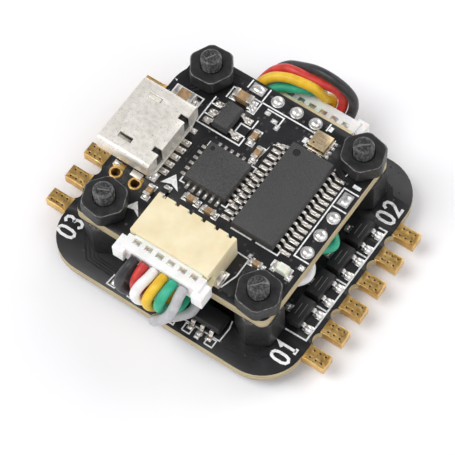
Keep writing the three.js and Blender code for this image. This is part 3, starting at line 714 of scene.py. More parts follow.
def make_controller_print():
    line = 0.13
    lines = [
        [(-9.9, 4.0), (-9.9, 5.45), (-7.1, 5.45), (-7.1, 3.9)],
        [(-5.6, 6.75), (-5.6, 8.0), (-2.6, 8.0), (-2.6, 6.6), (-3.3, 6.6)],
        [(-6.35, 6.3), (-6.35, 3.3), (-1.85, 3.3), (-1.85, 6.3)],
        [(-6.35, 5.55), (-5.35, 5.55)], [(-6.35, 4.4), (-5.35, 4.4)],
        rectangle(-2.95, 4.25, -1.85, 5.25),
        [(-2.7, 8.03), (3.05, 8.03)], [(-2.68, 8.03), (-2.68, 9.55)], [(-4.58, 8.6), (-4.56, 9.55)],
        [(3.65, 8.75), (3.65, 9.6)],
        [(9.65, -2.93), (8.15, -2.93), (8.1, 4.88), (9.6, 4.88)], [(8.12, 2.88), (9.6, 2.88)],
        [(2.15, -3.74), (4.3, -3.74)], [(4.72, -3.74), (6.95, -3.74), (6.95, -3.15)],
        [(5.2, -5.4), (5.2, -7.3), (4.7, -8.9)], [(3.7, -5.35), (5.2, -5.4)],
        [(-1.85, 7.75), (-0.1, 7.75), (-0.1, 6.35)],
        *chip_brackets(-1.7, -0.08, 2.42, 2.32, 0.5),
    ]
    piece = Piece(CONTROLLER)
    for one in lines:
        piece.strip(one, line, 0, 0.03)
    thin = [[(0.1, 1.6), (0.25, 3.2), (0.5, 4.95), (1.2, 5.5), (2.0, 5.65)],
            [(6.9, 8.3), (7.6, 6.2), (7.55, 5.9)]]
    for one in thin:
        piece.strip(one, 0.07, 0, 0.02)
    for x, y, across, along in ((9.0, 5.5, 0.75, 0.35), (3.95, 9.1, 0.35, 0.5), (2.66, 6.95, 0.42, 0.55),
                                (6.35, 5.9, 0.3, 0.22), (7.15, -4.5, 0.35, 0.7)):
        piece.block(x, y, 0, across, along, 0.035)
    for tip, left, tail, right in (
            ((-4.72, -2.1), (-5.45, -3.45), (-4.55, -3.1), (-3.62, -3.42)),
            ((-5.95, -6.1), (-6.55, -7.15), (-5.75, -6.95), (-5.0, -7.35))):
        piece.prism([[tip, left, tail, right]], 0, 0.03)
    piece.make("controller_print", ["white_print"])


def make_driver_print():
    wide = 0.15
    piece = Piece(DRIVER)
    for side in (-1, 1):
        lines = [[(9.95, -7.0), (12.08, -6.95), (12.1, 5.75), (11.3, 5.72)],
                 *([(11.0, y), (12.0, y)] for y in (-3.68, -0.6, 2.6))]
        for one in lines:
            piece.strip([(side * x, y) for x, y in one], wide, 0)
    for label, x, y in (("01", 11.1, -8.9), ("02", 11.25, 7.45), ("03", -11.3, -9.4), ("04", -11.3, 7.45)):
        for digit, shift in zip(label, (-0.58, 0.58)):
            for one in digit_lines(digit, x, y + shift, 1.7, math.pi / 2):
                piece.strip(one, 0.27, 0)
    lines = [
        [(-5.25, -11.0), (-5.35, -12.1), (-4.55, -12.1), (-4.4, -11.85)],
        [(-3.2, -12.1), (-2.0, -12.15), (-1.95, -11.8)],
        [(0.4, -12.12), (1.75, -12.12), (1.6, -10.9)],
        rectangle(2.6, -12.05, 3.4, -11.3), rectangle(4.95, -12.05, 5.75, -11.3),
        [(2.3, -11.0), (2.3, -11.15), (5.95, -11.15), (6.0, -9.7), (5.8, -8.95)],
    ]
    lines += [[(-x, -y) for x, y in one] for one in lines[:2]]
    for one in lines:
        piece.strip(one, 0.12, 0)
    piece.make("driver_print", ["white_print"])


def vias(level, name, spots):
    """Small vias under the solder mask: low round dots."""
    piece = Piece(level)
    for x, y in spots:
        piece.dome(x, y, -0.01, 0.26, 0.26, 0.035)
    piece.make(name, ["covered_via"], smooth=50)


def free_spots(nodes, level, count, x_reach, y_reach, seed):
    """Places on a board that keep clear of the parts on it."""
    draw = random.Random(seed)
    taken = [node_box(node, level) for node in nodes]
    spots = []
    while len(spots) < count:
        x, y = draw.uniform(-x_reach, x_reach), draw.uniform(-y_reach, y_reach)
        near_part = any(abs(x - a) < w / 2 + 0.35 and abs(y - b) < d / 2 + 0.35 for a, b, _, w, d, _ in taken)
        near_hole = any(math.hypot(x - a, y - b) < 2.5 for a, b, _ in CORNERS.values())
        near_other = any(math.hypot(x - a, y - b) < 0.5 for a, b in spots)
        past = [abs(v) - reach + 3.2 for v, reach in ((x, x_reach), (y, y_reach))]
        off_corner = min(past) > 0 and math.hypot(*past) > 3.2
        if not (near_part or near_hole or near_other or off_corner):
            spots.append((x, y))
    return spots


def traces(level, name, routes, width=0.14):
    piece = Piece(level)
    for route in routes:
        piece.strip(route, width, 0, 0.02)
    piece.make(name, ["covered_copper"])


def bundle(line, count, spacing_x, spacing_y):
    return [[(x + k * spacing_x, y + k * spacing_y) for x, y in line] for k in range(count)]


PASSIVES = [
    "usb_capacitor", "input_capacitor", "supply_capacitor_1", "supply_capacitor_2", "sensor_capacitor_1",
    "sensor_capacitor_2", "port_capacitor", "port_resistor", "lamp_capacitor",
]
CONTROLLER_PARTS = [
    "controller_header", "usb_socket_shell", "video_chip", "motion_sensor", "pressure_sensor",
    "voltage_regulator", "status_lamp", *PASSIVES,
]
TRANSISTORS = [f"transistor_{side}_{k}" for side in ("left", "right") for k in range(1, 5)]
DRIVER_PARTS = ["driver_header", "bus_regulator", *TRANSISTORS]

make_controller_print()
make_driver_print()
vias(CONTROLLER, "controller_vias", free_spots(CONTROLLER_PARTS, CONTROLLER, 105, 9.2, 9.2, 5))
vias(DRIVER, "driver_vias", free_spots(DRIVER_PARTS, DRIVER, 170, 11.4, 11.8, 8))
traces(CONTROLLER, "controller_traces", [
    *bundle([(0.9, -2.0), (0.9, -4.2), (2.0, -5.3)], 3, 0.3, 0.1),
    *bundle([(-5.1, -0.5), (-5.1, 1.6), (-4.3, 2.6), (-2.2, 2.75)], 3, 0.28, -0.12),
    *bundle([(0.8, 2.6), (0.8, 5.2), (2.0, 6.4), (2.1, 7.6)], 2, -0.28, 0.1),
    *bundle([(5.8, 6.6), (7.3, 5.6), (7.7, 3.6), (7.7, -1.0)], 2, 0.22, 0.15),
    *bundle([(-9.0, 6.0), (-6.4, 8.9), (-5.0, 9.0)], 3, 0.25, -0.2),
    *bundle([(5.7, -6.4), (6.6, -6.2), (7.3, -5.6)], 2, 0.1, -0.3),
])
traces(DRIVER, "driver_traces", [
    *bundle([(-10.8, -8.2), (-8.2, -11.2), (-3.0, -11.4)], 4, 0.25, 0.25),
    *bundle([(6.5, -11.5), (9.5, -11.0), (11.3, -8.8)], 3, 0.1, 0.3),
    *bundle([(10.0, 9.8), (11.6, 7.6), (11.7, 6.3)], 3, -0.3, 0.1),
    *bundle([(-6.0, 11.0), (-9.4, 10.9), (-11.4, 8.6)], 4, 0.2, -0.25),
])


# ---------- solder ----------
def make_solder():
    piece = Piece(CONTROLLER)
    for x, y in ((-1.5, 8.84), (0.5, 8.84), (2.5, 8.84), (8.95, 1.9), (8.95, -0.1), (8.93, -2.1)):
        piece.prism([circle(x, y, 0.62, 28)], 0, 0.04)
        piece.dome(x, y, 0.03, 1.1, 1.1, 0.42)
    for x, y, across, along in ((-3.65, 8.95, 1.35, 0.95), (8.85, 3.95, 1.0, 1.35)):
        piece.block(x, y, 0, across, along, 0.05)
        piece.dome(x, y, 0.04, across * 0.92, along * 0.92, 0.24)
    pads = [
        (-1.6, 7.4, 0.55, 0.4), (-0.65, 7.0, 0.6, 0.4), (-0.12, 6.6, 0.45, 0.55),
        (9.35, -3.6, 0.55, 0.5), (7.35, -4.85, 0.5, 0.75), (8.95, -4.95, 0.55, 0.7),
        (-9.6, -4.05, 0.7, 0.5), (-6.3, -3.35, 0.95, 0.95), (-6.05, 2.3, 0.75, 0.5),
        (4.95, 7.9, 0.35, 0.55), (5.05, 6.9, 0.3, 0.4), (3.55, 6.2, 0.5, 0.25), (4.5, 6.2, 0.5, 0.25),
        (-2.85, 7.0, 0.5, 0.7), (5.1, -5.05, 0.35, 0.4),
    ]
    for x, y, across, along in pads:
        piece.block(x, y, 0, across, along, 0.04)
        piece.dome(x, y, 0.03, across * 0.9, along * 0.9, 0.2)
    piece.make("controller_solder", ["solder"], smooth=60)
    piece = Piece(DRIVER)
    for x, y, across, along in (
            (-4.82, -11.55, 0.5, 0.85), (-2.6, -11.95, 0.75, 0.35), (1.05, -11.55, 0.5, 0.75),
            (4.1, -11.55, 0.45, 0.6), (4.1, -11.95, 0.5, 0.3), (-1.0, -11.6, 0.45, 0.6)):
        piece.block(x, y, 0, across, along, 0.04)
        piece.dome(x, y, 0.03, across, along, 0.22)
    piece.make("driver_solder", ["solder"], smooth=60)


make_solder()


# ---------- fixings ----------
HEX_FLATS = 3.8
HEX_CORNER = HEX_FLATS / math.sqrt(3)
THREAD_PITCH = 0.4
ROOT = Vector((0, PATTERN_Y, 0))


def hexagon(turn, limit=None, inset=0.0):
    """Radius of a hexagonal bar at an angle, kept under a limit where a chamfer cuts it."""
    def radius(angle):
        a = (angle - turn + math.pi / 6) % (math.pi / 3) - math.pi / 6
        flat = HEX_FLATS / 2 / math.cos(a)
        soft = min(flat, HEX_CORNER - 0.05 * (1 - math.cos((math.pi / 6 - abs(a)) * 4)) - 0.03)
        return (min(soft, limit) if limit else soft) - inset
    return radius


def screw_thread(radius, depth, height):
    def value(angle):
        turn = height / THREAD_PITCH - angle / (2 * math.pi)
        return radius - depth * (0.5 - 0.5 * math.cos(2 * math.pi * turn))
    return value


def spread(start, end, step):
    count = max(1, round((end - start) / step))
    return [start + (end - start) * k / count for k in range(count + 1)]


def make_nut(corner, x, y, turn):
    bottom = CONTROLLER_TOP + 0.02
    height, chamfer, bore = 1.6, 0.24, 0.99
    rows = []
    rises = (0, 0.03, 0.07, 0.12, 0.18, 0.24, 0.34, 0.8, 1.26, 1.36, 1.42, 1.48, 1.53, 1.57, height)
    for rise in rises:
        from_end = min(rise, height - rise)
        limit = HEX_CORNER - 0.15 + 0.1 * min(1, from_end / chamfer)
        inset = 0.09 * (1 - min(1, from_end / 0.05)) ** 1.5
        rows.append((hexagon(turn, limit, inset), bottom + rise))
    rows += [(r, bottom + height) for r in (HEX_FLATS / 2 - 0.2, bore + 0.26, bore + 0.14, bore + 0.05)]
    rows.append((bore, bottom + height - 0.05))
    thread = reversed(spread(0.14, height - 0.2, 0.1))
    rows += [(screw_thread(bore + 0.02, -0.04, z), bottom + z) for z in thread]
    rows.append((bore + 0.14, bottom))
    piece = Piece(ROOT, x, y)
    sides, rim = 96, len(rises) - 2
    piece.turned(rows, sides, closed=True)
    # The top chamfer strip takes the lighter second finish: a painted rim highlight, partly chamfer wear.
    piece.marks[rim * sides:(rim + 1) * sides] = [1] * sides
    node = f"nut_{corner}"
    piece.make(f"{node}_moulding", ["black_nylon", "rim_highlight_wear_nylon"], body=node, replaces=node)


def make_spacer(corner, x, y):
    bottom, top = DRIVER_TOP + 0.02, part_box("controller_board")[0].z / MM - 0.02
    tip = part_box(f"spacer_{corner}")[1].z / MM
    draw = random.Random(sum(map(ord, corner)))
    rough = [draw.uniform(-1, 1) for _ in range(8)]

    def worn(height, amount):
        return lambda a: height + amount * (
            rough[0] * math.cos(a + rough[1]) + rough[2] * math.sin(2 * a + rough[3])
            + 0.6 * rough[4] * math.cos(3 * a + rough[5]))

    def bar(from_end):
        return hexagon(0, HEX_FLATS / 2 + 0.02 + (HEX_CORNER - HEX_FLATS / 2) * from_end / 0.14)
    rows = [(0.3, bottom + 2.6), (0.93, bottom + 2.6), (0.93, bottom + 0.1), (1.02, bottom)]
    chamfer = (0, 0.04, 0.08, 0.14, 0.3)
    rows += [(bar(rise), bottom + rise) for rise in chamfer]
    rows += [(bar(drop), top - drop) for drop in reversed(chamfer)]
    rows.append((0.93, top))
    rows += [(screw_thread(0.945, 0.1, z), z) for z in spread(top + 0.05, tip - 0.3, 0.05)]
    rows += [(0.86, worn(tip - 0.22, 0.015)), (0.74, worn(tip - 0.13, 0.02)), (0.56, worn(tip - 0.1, 0.035)),
             (0.36, worn(tip - 0.13, 0.03)), (0.14, tip - 0.14)]
    piece = Piece(ROOT, x, y)
    piece.turned(rows, sides=72)
    body = len(piece.points)
    for k in range(len(piece.faces)):
        if min(piece.points[i].z for i in piece.faces[k]) > top:
            piece.marks[k] = 1
    piece.block(0, 0, tip - 0.2, 1.1, 0.16, 0.14, 1, 0.04)
    cut = Matrix.Rotation(0.6 + rough[6] * 0.5, 4, "Z")
    for k in range(body, len(piece.points)):
        piece.points[k] = cut @ piece.points[k]
    piece.make(f"spacer_{corner}_moulding", ["black_nylon", "nylon_thread"],
               replaces=f"spacer_{corner}", smooth=40)


def make_screw(corner, x, y):
    head, radius, tip = 1.28, 1.8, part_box(f"screw_{corner}")[1].z / MM

    def recess(radius_here, crown):
        def height(angle):
            a, b = abs(radius_here * math.cos(angle)), abs(radius_here * math.sin(angle))
            inside = min(max(a - 1.1, b - 0.22), max(b - 1.1, a - 0.22))
            return crown + 0.6 * min(1, max(0, -inside / 0.08 + 0.3))
        return height
    rows = [(r, recess(r, 0)) for r in spread(0.04, 1.32, 0.08)]
    rows += [(radius - 0.36 + 0.36 * math.sin(t), 0.45 - 0.45 * math.cos(t))
             for t in spread(0.05, math.pi / 2, 0.25)]
    rows += [(radius, head - 0.05), (radius - 0.05, head), (0.9, head), (0.79, head + 0.1)]
    rows += [(screw_thread(0.79, 0.09, z), z) for z in spread(head + 0.15, tip - 0.3, 0.08)]
    rows += [(0.6, tip - 0.06), (0.3, tip)]
    piece = Piece(ROOT, x, y)
    piece.turned(rows, sides=80)
    piece.make(f"screw_{corner}_moulding", ["black_nylon"], replaces=f"screw_{corner}", smooth=40)


for corner, (x, y, turn) in CORNERS.items():
    make_nut(corner, x, y, turn)
    make_spacer(corner, x, y)
    make_screw(corner, x, y)


# ---------- connectors ----------
def between(value, low, high):
    return low < value < high


def make_header(node, level, x, y, turn):
    """Side-entry header, its mouth at y = 0 facing -Y, with its contacts and fixing tabs."""
    half, depth, height, wall = 4.0, 4.25, 2.95, 0.45
    notches = [1.35 * (k - 2.5) for k in range(6)]
    xs = [-half, half, -half + wall, half - wall, -half + 0.5, half - 0.5, -3.0, 3.0]
    xs += [n + d for n in notches for d in (-0.2, 0.2)]
    ys = [0, 0.9, 1.75, depth - 0.28, depth - 0.14, depth]
    zs = [0, 0.24, 0.5, 1.1, 2.15, 2.46, height]

    def filled(a, b, c):
        if abs(a) < half - wall and b < 1.75 and between(c, 0.24, 2.46):
            return False
        if abs(a) > half - 0.5 and b < 0.9 and between(c, 0.5, 2.15):
            return False
        near_notch = min(abs(a - n) for n in notches) < 0.2
        return not (near_notch and b > depth - 0.28 and c > 1.1)

    piece = Piece(level, x, y, turn)
    piece.grid(xs, ys, zs, filled)
    piece.make(f"{node}_moulding", ["cream_plastic"], replaces=node, bevel=0.07)
    metal = Piece(level, x, y, turn)
    for pole in range(6):
        a = pole - 2.5
        metal.block(a, depth + 0.3, 0, 0.42, 0.72, 0.05)
        metal.block(a, depth + 0.24, 0.05, 0.3, 0.6, 0.14)
        metal.dome(a, depth + 0.5, 0.04, 0.42, 0.4, 0.22)
        metal.block(a, 1.72, 1.2, 0.3, 0.1, 0.3)
    for side in (-1, 1):
        metal.block(side * (half + 0.22), 1.5, 0, 0.62, 1.7, 0.05)
        metal.block(side * (half + 0.04), 1.5, 0.05, 0.1, 1.2, 0.75)
        metal.dome(side * (half + 0.22), 1.5, 0.05, 0.5, 1.4, 0.22)
    metal.make(f"{node}_contacts", ["tinned_contact"], smooth=40, bevel=0.02)


def make_plug(node, level, x, y, turn):
    """Crimp housing with a window over each crimp and an ear at each end."""
    windows = [1.17 * (k - 2.5) for k in range(6)]
    poles = [k - 2.5 for k in range(6)]
    xs = [-4.6, -4.0, -3.5, -3.45, 3.45, 3.5, 4.0, 4.6]
    xs += [w + d for w in windows for d in (-0.34, 0.34)] + [p + d for p in poles for d in (-0.46, 0.46)]
    ys = [-1.9, -1.45, -1.3, -0.76, -0.35, -0.24, -0.2, -0.1, 1.6]
    zs = [0.3, 0.55, 0.88, 1.84, 2.1, 2.24, 2.4]

    def filled(a, b, c):
        back = abs(a) < 4 and between(b, -1.45, -0.1)
        nose = abs(a) < 3.45 and b > -0.2
        ear = between(abs(a), 3.5, 4.6) and between(b, -1.9, -0.35) and between(c, 0.55, 2.1)
        if c > 2.24 and between(b, -0.76, -0.24) and min(abs(a - w) for w in windows) < 0.34:
            return False
        if b < -1.3 and between(c, 0.88, 1.84) and min(abs(a - p) for p in poles) < 0.46:
            return False
        return back or nose or ear

    piece = Piece(level, x, y, turn)
    piece.grid(xs, ys, zs, filled)
    piece.make(f"{node}_moulding", ["white_plastic"], body=node, replaces=node, bevel=0.06)
    crimps = Piece(level, x, y, turn)
    for w in windows:
        crimps.block(w, -0.5, 2.24, 0.6, 0.46, 0.09)
    crimps.make(f"{node}_crimps", ["tinned_contact"], body=node, bevel=0.01)


make_header("controller_header", CONTROLLER + Vector((0, 0, 0.02)), 0.13, -9.8, 0)
make_plug("controller_plug", CONTROLLER + Vector((0, 0, 0.02)), 0.13, -9.8, 0)
make_header("driver_header", DRIVER + Vector((0, 0, 0.02)), 0.9, 11.1, math.pi)
make_plug("driver_plug", DRIVER + Vector((0, 0, 0.02)), 0.9, 11.1, math.pi)


# ---------- USB socket ----------
USB_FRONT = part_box("usb_socket_shell")[0].x / MM
USB_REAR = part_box("usb_socket_shell")[1].x / MM
USB_Y = -0.3
USB_LIFT = 0.02


def usb_outline(inset):
    half, top, low = 3.75 - inset, 2.5 - inset, inset
    corner = 0.42 - inset * 0.6
    points = arc(half - corner, top - corner, corner, 0, 90, 6)
    points += arc(-half + corner, top - corner, corner, 90, 180, 6)
    slope = [(half, low + 1.0), (half - 0.1, low + 0.75), (half - 0.85, low + 0.06), (half - 1.0, low)]
    return points + [(-x, y) for x, y in slope] + slope[::-1]


def take_away(thing, name, boxes):
    """Cuts boxes, given by their middles and sizes, out of an object."""
    tool = Piece(CONTROLLER)
    for box in boxes:
        tool.block(*box)
    mesh = bpy.data.meshes.new(name)
    mesh.from_pydata([tool.frame @ p * MM for p in tool.points], [], tool.faces)
    face_outwards(mesh)
    cutter = bpy.data.objects.new(name, mesh)
    bpy.context.scene.collection.objects.link(cutter)
    modifier = thing.modifiers.new("cut", "BOOLEAN")
    modifier.operation = "DIFFERENCE"
    modifier.object = cutter
    modifier.solver = "EXACT"
    settle(thing)
    bpy.data.objects.remove(cutter)


def make_usb():
    piece = Piece(CONTROLLER)
    rings = []
    for x, inset in ((USB_FRONT, 0.1), (USB_FRONT + 0.04, 0.03), (USB_FRONT + 0.12, 0), (USB_REAR - 0.12, 0),
                     (USB_REAR - 0.04, 0.03), (USB_REAR, 0.1), (USB_REAR, 0.22), (USB_FRONT, 0.22)):
        rings.append([(x, USB_Y + a, USB_LIFT + b) for a, b in usb_outline(inset)])
    piece.loft(rings, closed=True)
    shell = piece.make("usb_shell_pressing", ["plated_steel"], body=None,
                       replaces="usb_socket_shell", smooth=30)
    rear = USB_REAR - 0.3
    take_away(shell, "usb_cuts", [
        (-9.75, 2.05, 1.6, 1.35, 0.5, 2), (-9.6, -2.6, 1.6, 1.4, 0.55, 2),
        (rear, 1.72, 1.9, 0.95, 0.55, 2), (rear, -2.18, 1.9, 0.95, 0.55, 2),
    ])
    modifier = shell.modifiers.new("edge", "BEVEL")
    modifier.width, modifier.segments, modifier.limit_method = 0.03 * MM, 2, "ANGLE"
    modifier.angle_limit = math.radians(50)
    settle(shell)
    shell.data.polygons.foreach_set("use_smooth", [True] * len(shell.data.polygons))
    shell.data.set_sharp_from_angle(angle=math.radians(30))
    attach(shell, "stack")
    more = Piece(CONTROLLER)
    for y, start, drop in ((2.05, 2.33, 0.06), (-2.6, 2.08, 0.3)):
        line = ((-10.42, 0), (-10.0, 0.5), (-9.5, 1), (-9.2, 1.2))
        more.loft([[(x, y - 0.2, z), (x, y + 0.2, z), (x, y + 0.2, z + 0.14), (x, y - 0.2, z + 0.14)]
                   for x, z in ((x, start - drop * share) for x, share in line)])
    for y, width in ((-3.35, 1.3), (-0.22, 3.2), (2.8, 1.3)):
        more.block(USB_REAR - 0.12, y, 0.55, 0.16, width, 1.85)
    for x, y, across in ((-7.4, 3.75, 1.2), (-7.5, -4.1, 1.1)):
        more.block(x, y, 0.0, across, 0.6, 0.2)
    more.make("usb_shell_tongues", ["plated_steel"], bevel=0.04)
    inside = Piece(CONTROLLER)
    inside.block(USB_REAR - 0.62, USB_Y, 0.3, 0.7, 6.6, 1.9)
    inside.block((USB_FRONT + USB_REAR) / 2, USB_Y, 1.45, USB_REAR - USB_FRONT - 1.4, 3.8, 0.6)
    inside.make("usb_insulator", ["black_package"], replaces="usb_socket_tongue", bevel=0.05)
    contacts = Piece(CONTROLLER)
    for k in range(5):
        y = 0.95 - 0.85 * k
        contacts.block(USB_REAR + 0.27, y, 0.05, 0.85, 0.44, 0.16, 0, 0.03)
        contacts.block(USB_REAR + 0.34, y, 0, 0.95, 0.56, 0.05)
        contacts.dome(USB_REAR + 0.5, y, 0.05, 0.5, 0.5, 0.24)
        contacts.block((USB_FRONT + USB_REAR) / 2 - 0.6, USB_Y + 0.65 * (k - 2), 1.38, 3.2, 0.3, 0.09)
    contacts.make("usb_contacts", ["tinned_contact"], bevel=0.03)
    gold = Piece(CONTROLLER)
    for x, y, across, along in ((-9.3, -4.15, 1.1, 0.6), (-7.0, -4.25, 0.7, 0.5), (-9.3, 3.75, 1.0, 0.6)):
        gold.block(x, y, 0, across, along, 0.05)
    gold.make("usb_pads", ["gold_plate"], bevel=0.02)


make_usb()


# ---------- chips ----------
def body_block(piece, node, level, taper=0.0):
    """Fills a node's box and returns its place and size."""
    x, y, z, width, depth, height = node_box(node, level)
    piece.block(x, y, z, width, depth, height, 0, taper)
    return x, y, z, width, depth, height


def leg(piece, x, y, z, side, width, route):
    """A formed leg along the (outward, upward) points of its route."""
    half = width / 2
    piece.loft([[(x + side * out, y - half, z + rise - 0.06), (x + side * out, y + half, z + rise - 0.06),
                 (x + side * (out + 0.02), y + half, z + rise + 0.06),
                 (x + side * (out + 0.02), y - half, z + rise + 0.06)] for out, rise in route])


def make_video_chip():
    x, y, z, reach, length, _ = node_box("video_chip", CONTROLLER)
    width, thickness, lift = 4.4, 1.0, 0.1
    piece = Piece(CONTROLLER)
    parting = z + lift + thickness * 0.5
    levels = ((z + lift, 0.1), (parting - 0.06, 0), (parting + 0.06, 0), (z + lift + thickness, 0.12))
    piece.loft(box_rings(x, y, width, length, levels))
    chip = piece.make("video_chip_body", ["moulding_compound"], body=None,
                      replaces="video_chip", bevel=0.05)
    dot = Piece(CONTROLLER)
    dot.prism([circle(x - 1.25, y + 3.95, 0.36, 28)], z + lift + thickness - 0.04, z + lift + thickness + 0.3)
    cutter = dot.make("pin_one_cutter", ["black_package"], body=None)
    modifier = chip.modifiers.new("cut", "BOOLEAN")
    modifier.operation, modifier.object, modifier.solver = "DIFFERENCE", cutter, "EXACT"
    settle(chip)
    bpy.data.objects.remove(cutter)
    chip.data.set_sharp_from_angle(angle=math.radians(30))
    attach(chip, "stack")
    floor = Piece(CONTROLLER)
    face = z + lift + thickness
    floor.prism([circle(x - 1.25, y + 3.95, 0.35, 28)], face - 0.05, face - 0.03)
    floor.make("video_chip_dot", ["black_package"])
    legs = Piece(CONTROLLER)
    route = [(width / 2 + out, rise) for out, rise in (
        (-0.05, 0.52), (0.2, 0.52), (0.3, 0.47), (0.42, 0.14), (0.54, 0.07))]
    route.append((reach / 2, 0.07))
    for k in range(14):
        at = y + (k - 6.5) * 0.65
        for side in (-1, 1):
            leg(legs, x, at, z, side, 0.26, route)
            legs.block(x + side * (reach / 2 - 0.12), at, 0, 0.95, 0.36, 0.04)
            legs.dome(x + side * (reach / 2 + 0.1), at, 0.03, 0.42, 0.32, 0.17)
            legs.dome(x + side * (width / 2 + 0.5), at, 0.03, 0.26, 0.32, 0.14)
    legs.make("video_chip_legs", ["tinned_contact"], bevel=0.02, smooth=50)


def pad_ring(piece, x, y, half_x, half_y, pitch, count, z, rise, depth, width):
    """Pads and fillets along all four sides of a leadless chip."""
    for k in range(count):
        along = (k - (count - 1) / 2) * pitch
        for side in (-1, 1):
            piece.block(x + side * (half_x + depth / 2 - 0.12), y + along, z, depth, width, 0.05 * rise)
            piece.block(x + along, y + side * (half_y + depth / 2 - 0.12), z, width, depth, 0.05 * rise)
            piece.dome(x + side * (half_x + 0.12), y + along, z, depth * 0.8, width, 0.15 * rise)
            piece.dome(x + along, y + side * (half_y + 0.12), z, width, depth * 0.8, 0.15 * rise)


def make_motion_sensor():
    piece = Piece(CONTROLLER)
    x, y, z, width, depth, height = body_block(piece, "motion_sensor", CONTROLLER, 0.02)
    piece.make("motion_sensor_body", ["moulding_compound"], replaces="motion_sensor", bevel=0.06)
    dot = Piece(CONTROLLER)
    dot.prism([circle(x - width / 2 + 0.55, y + depth / 2 - 0.55, 0.22, 20)], z + height, z + height + 0.012)
    dot.make("motion_sensor_dot", ["black_package"])
    pads = Piece(CONTROLLER)
    pad_ring(pads, x, y, width / 2, depth / 2, 0.63, 6, 0, 1, 0.78, 0.28)
    pads.make("motion_sensor_pads", ["tinned_contact"], smooth=50)


def make_pressure_sensor():
    x, y, z, width, depth, height = node_box("pressure_sensor", CONTROLLER)
    piece = Piece(CONTROLLER)
    piece.block(x, y, z, width, depth, 0.22, 1)
    piece.block(x, y, z + 0.22, width - 0.1, depth - 0.1, height - 0.22, 0, 0.05)
    # A thin near-black disc on the lid: painted shade in place of the vent hole.
    piece.prism([circle(x - 0.45, y - 0.45, 0.09, 16)], z + height, z + height + 0.004, 2)
    for k in range(3):
        piece.block(x + 0.02, y + 0.35 - 0.32 * k, z + height - 0.02, (0.75, 0.9, 0.6)[k], 0.07, 0.024, 3)
    piece.make("pressure_sensor_lid", ["gold_lid", "tinned_contact", "hole_shade_black", "ceramic"],
               replaces="pressure_sensor", bevel=0.05)
    pads = Piece(CONTROLLER)
    for side in (-1, 1):
        for k in range(4):
            along = y + (k - 1.5) * 0.5
            pads.block(x + side * (width / 2 + 0.1), along, 0, 0.42, 0.28, 0.05)
            pads.dome(x + side * (width / 2 + 0.12), along, 0.03, 0.34, 0.26, 0.14)
    pads.make("pressure_sensor_pads", ["solder"], smooth=50)


def gull_legs(piece, x, y, side, body_half, places, reach, z_exit, width=0.4):
    """Legs that leave a package along X on one side and stand on their pads."""
    for at in places:
        route = [(body_half - 0.04, z_exit), (body_half + 0.12, z_exit), (body_half + 0.22, z_exit - 0.08),
                 (body_half + 0.3, 0.12), (body_half + 0.38, 0.07), (reach, 0.07)]
        leg(piece, x, y + at, 0, side, width, route)
        piece.block(x + side * (reach - 0.05), y + at, 0, 0.7, width + 0.22, 0.04)
        piece.dome(x + side * (reach + 0.06), y + at, 0.03, 0.55, width + 0.14, 0.2)


def package_rings(x, y, z, width, depth, height, draft=0.09):
    """A moulded body, widest at its middle and drawn in towards both faces."""
    levels = ((z, draft), (z + height * 0.42, 0), (z + height * 0.55, 0), (z + height, draft))
    return box_rings(x, y, width, depth, levels)


def make_small_packages():
    x, y, z, width, depth, height = node_box("voltage_regulator", CONTROLLER)
    piece = Piece(CONTROLLER)
    piece.loft(package_rings(x, y, z, width, depth, height))
    piece.make("voltage_regulator_body", ["moulding_compound"],
               replaces="voltage_regulator", bevel=0.04)
    legs = Piece(CONTROLLER)
    gull_legs(legs, x, y, -1, width / 2, (-0.95, 0, 0.95), width / 2 + 0.8, 0.5)
    gull_legs(legs, x, y, 1, width / 2, (-0.95, 0.95), width / 2 + 0.8, 0.5)
    legs.make("voltage_regulator_legs", ["tinned_contact"], bevel=0.02, smooth=50)
    bodies = Piece(DRIVER)
    x, y, z, width, depth, height = node_box("bus_regulator", DRIVER)
    bodies.loft(package_rings(x, y, z, width, depth, height, 0.16))
    bodies.make("bus_regulator_body", ["black_package"], replaces="bus_regulator", bevel=0.05)
    turned = Piece(DRIVER, x, y, -math.pi / 2)
    gull_legs(turned, 0, 0, 1, depth / 2, (-0.95, 0, 0.95), depth / 2 + 0.55, 0.5)
    turned.make("bus_regulator_legs", ["tinned_contact"], bevel=0.02, smooth=50)
    for side, label in ((1, "right"), (-1, "left")):
        legs = Piece(DRIVER)
        for k in range(1, 5):
            node = f"transistor_{label}_{k}"
            x, y, z, width, depth, height = node_box(node, DRIVER)
            body = Piece(DRIVER)
            body.loft(package_rings(x, y, z, width, depth, height, 0.12))
            for row, size in enumerate((1.5, 1.2)):
                body.block(x + 0.25 - row * 0.45, y, z + height - 0.02, 0.06, size, 0.025, 1)
            body.make(f"{node}_body", ["black_package", "nylon_thread"], replaces=node, bevel=0.04)
            gull_legs(legs, x, y, side, width / 2, (-0.82, 0.82), width / 2 + 0.5, 0.42, 0.42)
            gull_legs(legs, x, y, -side, width / 2, (0,), width / 2 + 0.45, 0.42, 0.5)
            for at in (-0.82, 0.82):
                pad = ((0.95, -0.2), (1.25, -0.42), (1.78, -0.42), (1.78, 0.42), (1.25, 0.42), (0.95, 0.2))
                legs.prism([[(x + side * a, y + at + b * side) for a, b in pad]], 0, 0.06)
                legs.dome(x + side * 1.38, y + at, 0.04, 0.85, 0.74, 0.33, lean=-side * 0.16)
        legs.make(f"transistor_{label}_legs", ["solder"], bevel=0.02, smooth=50)


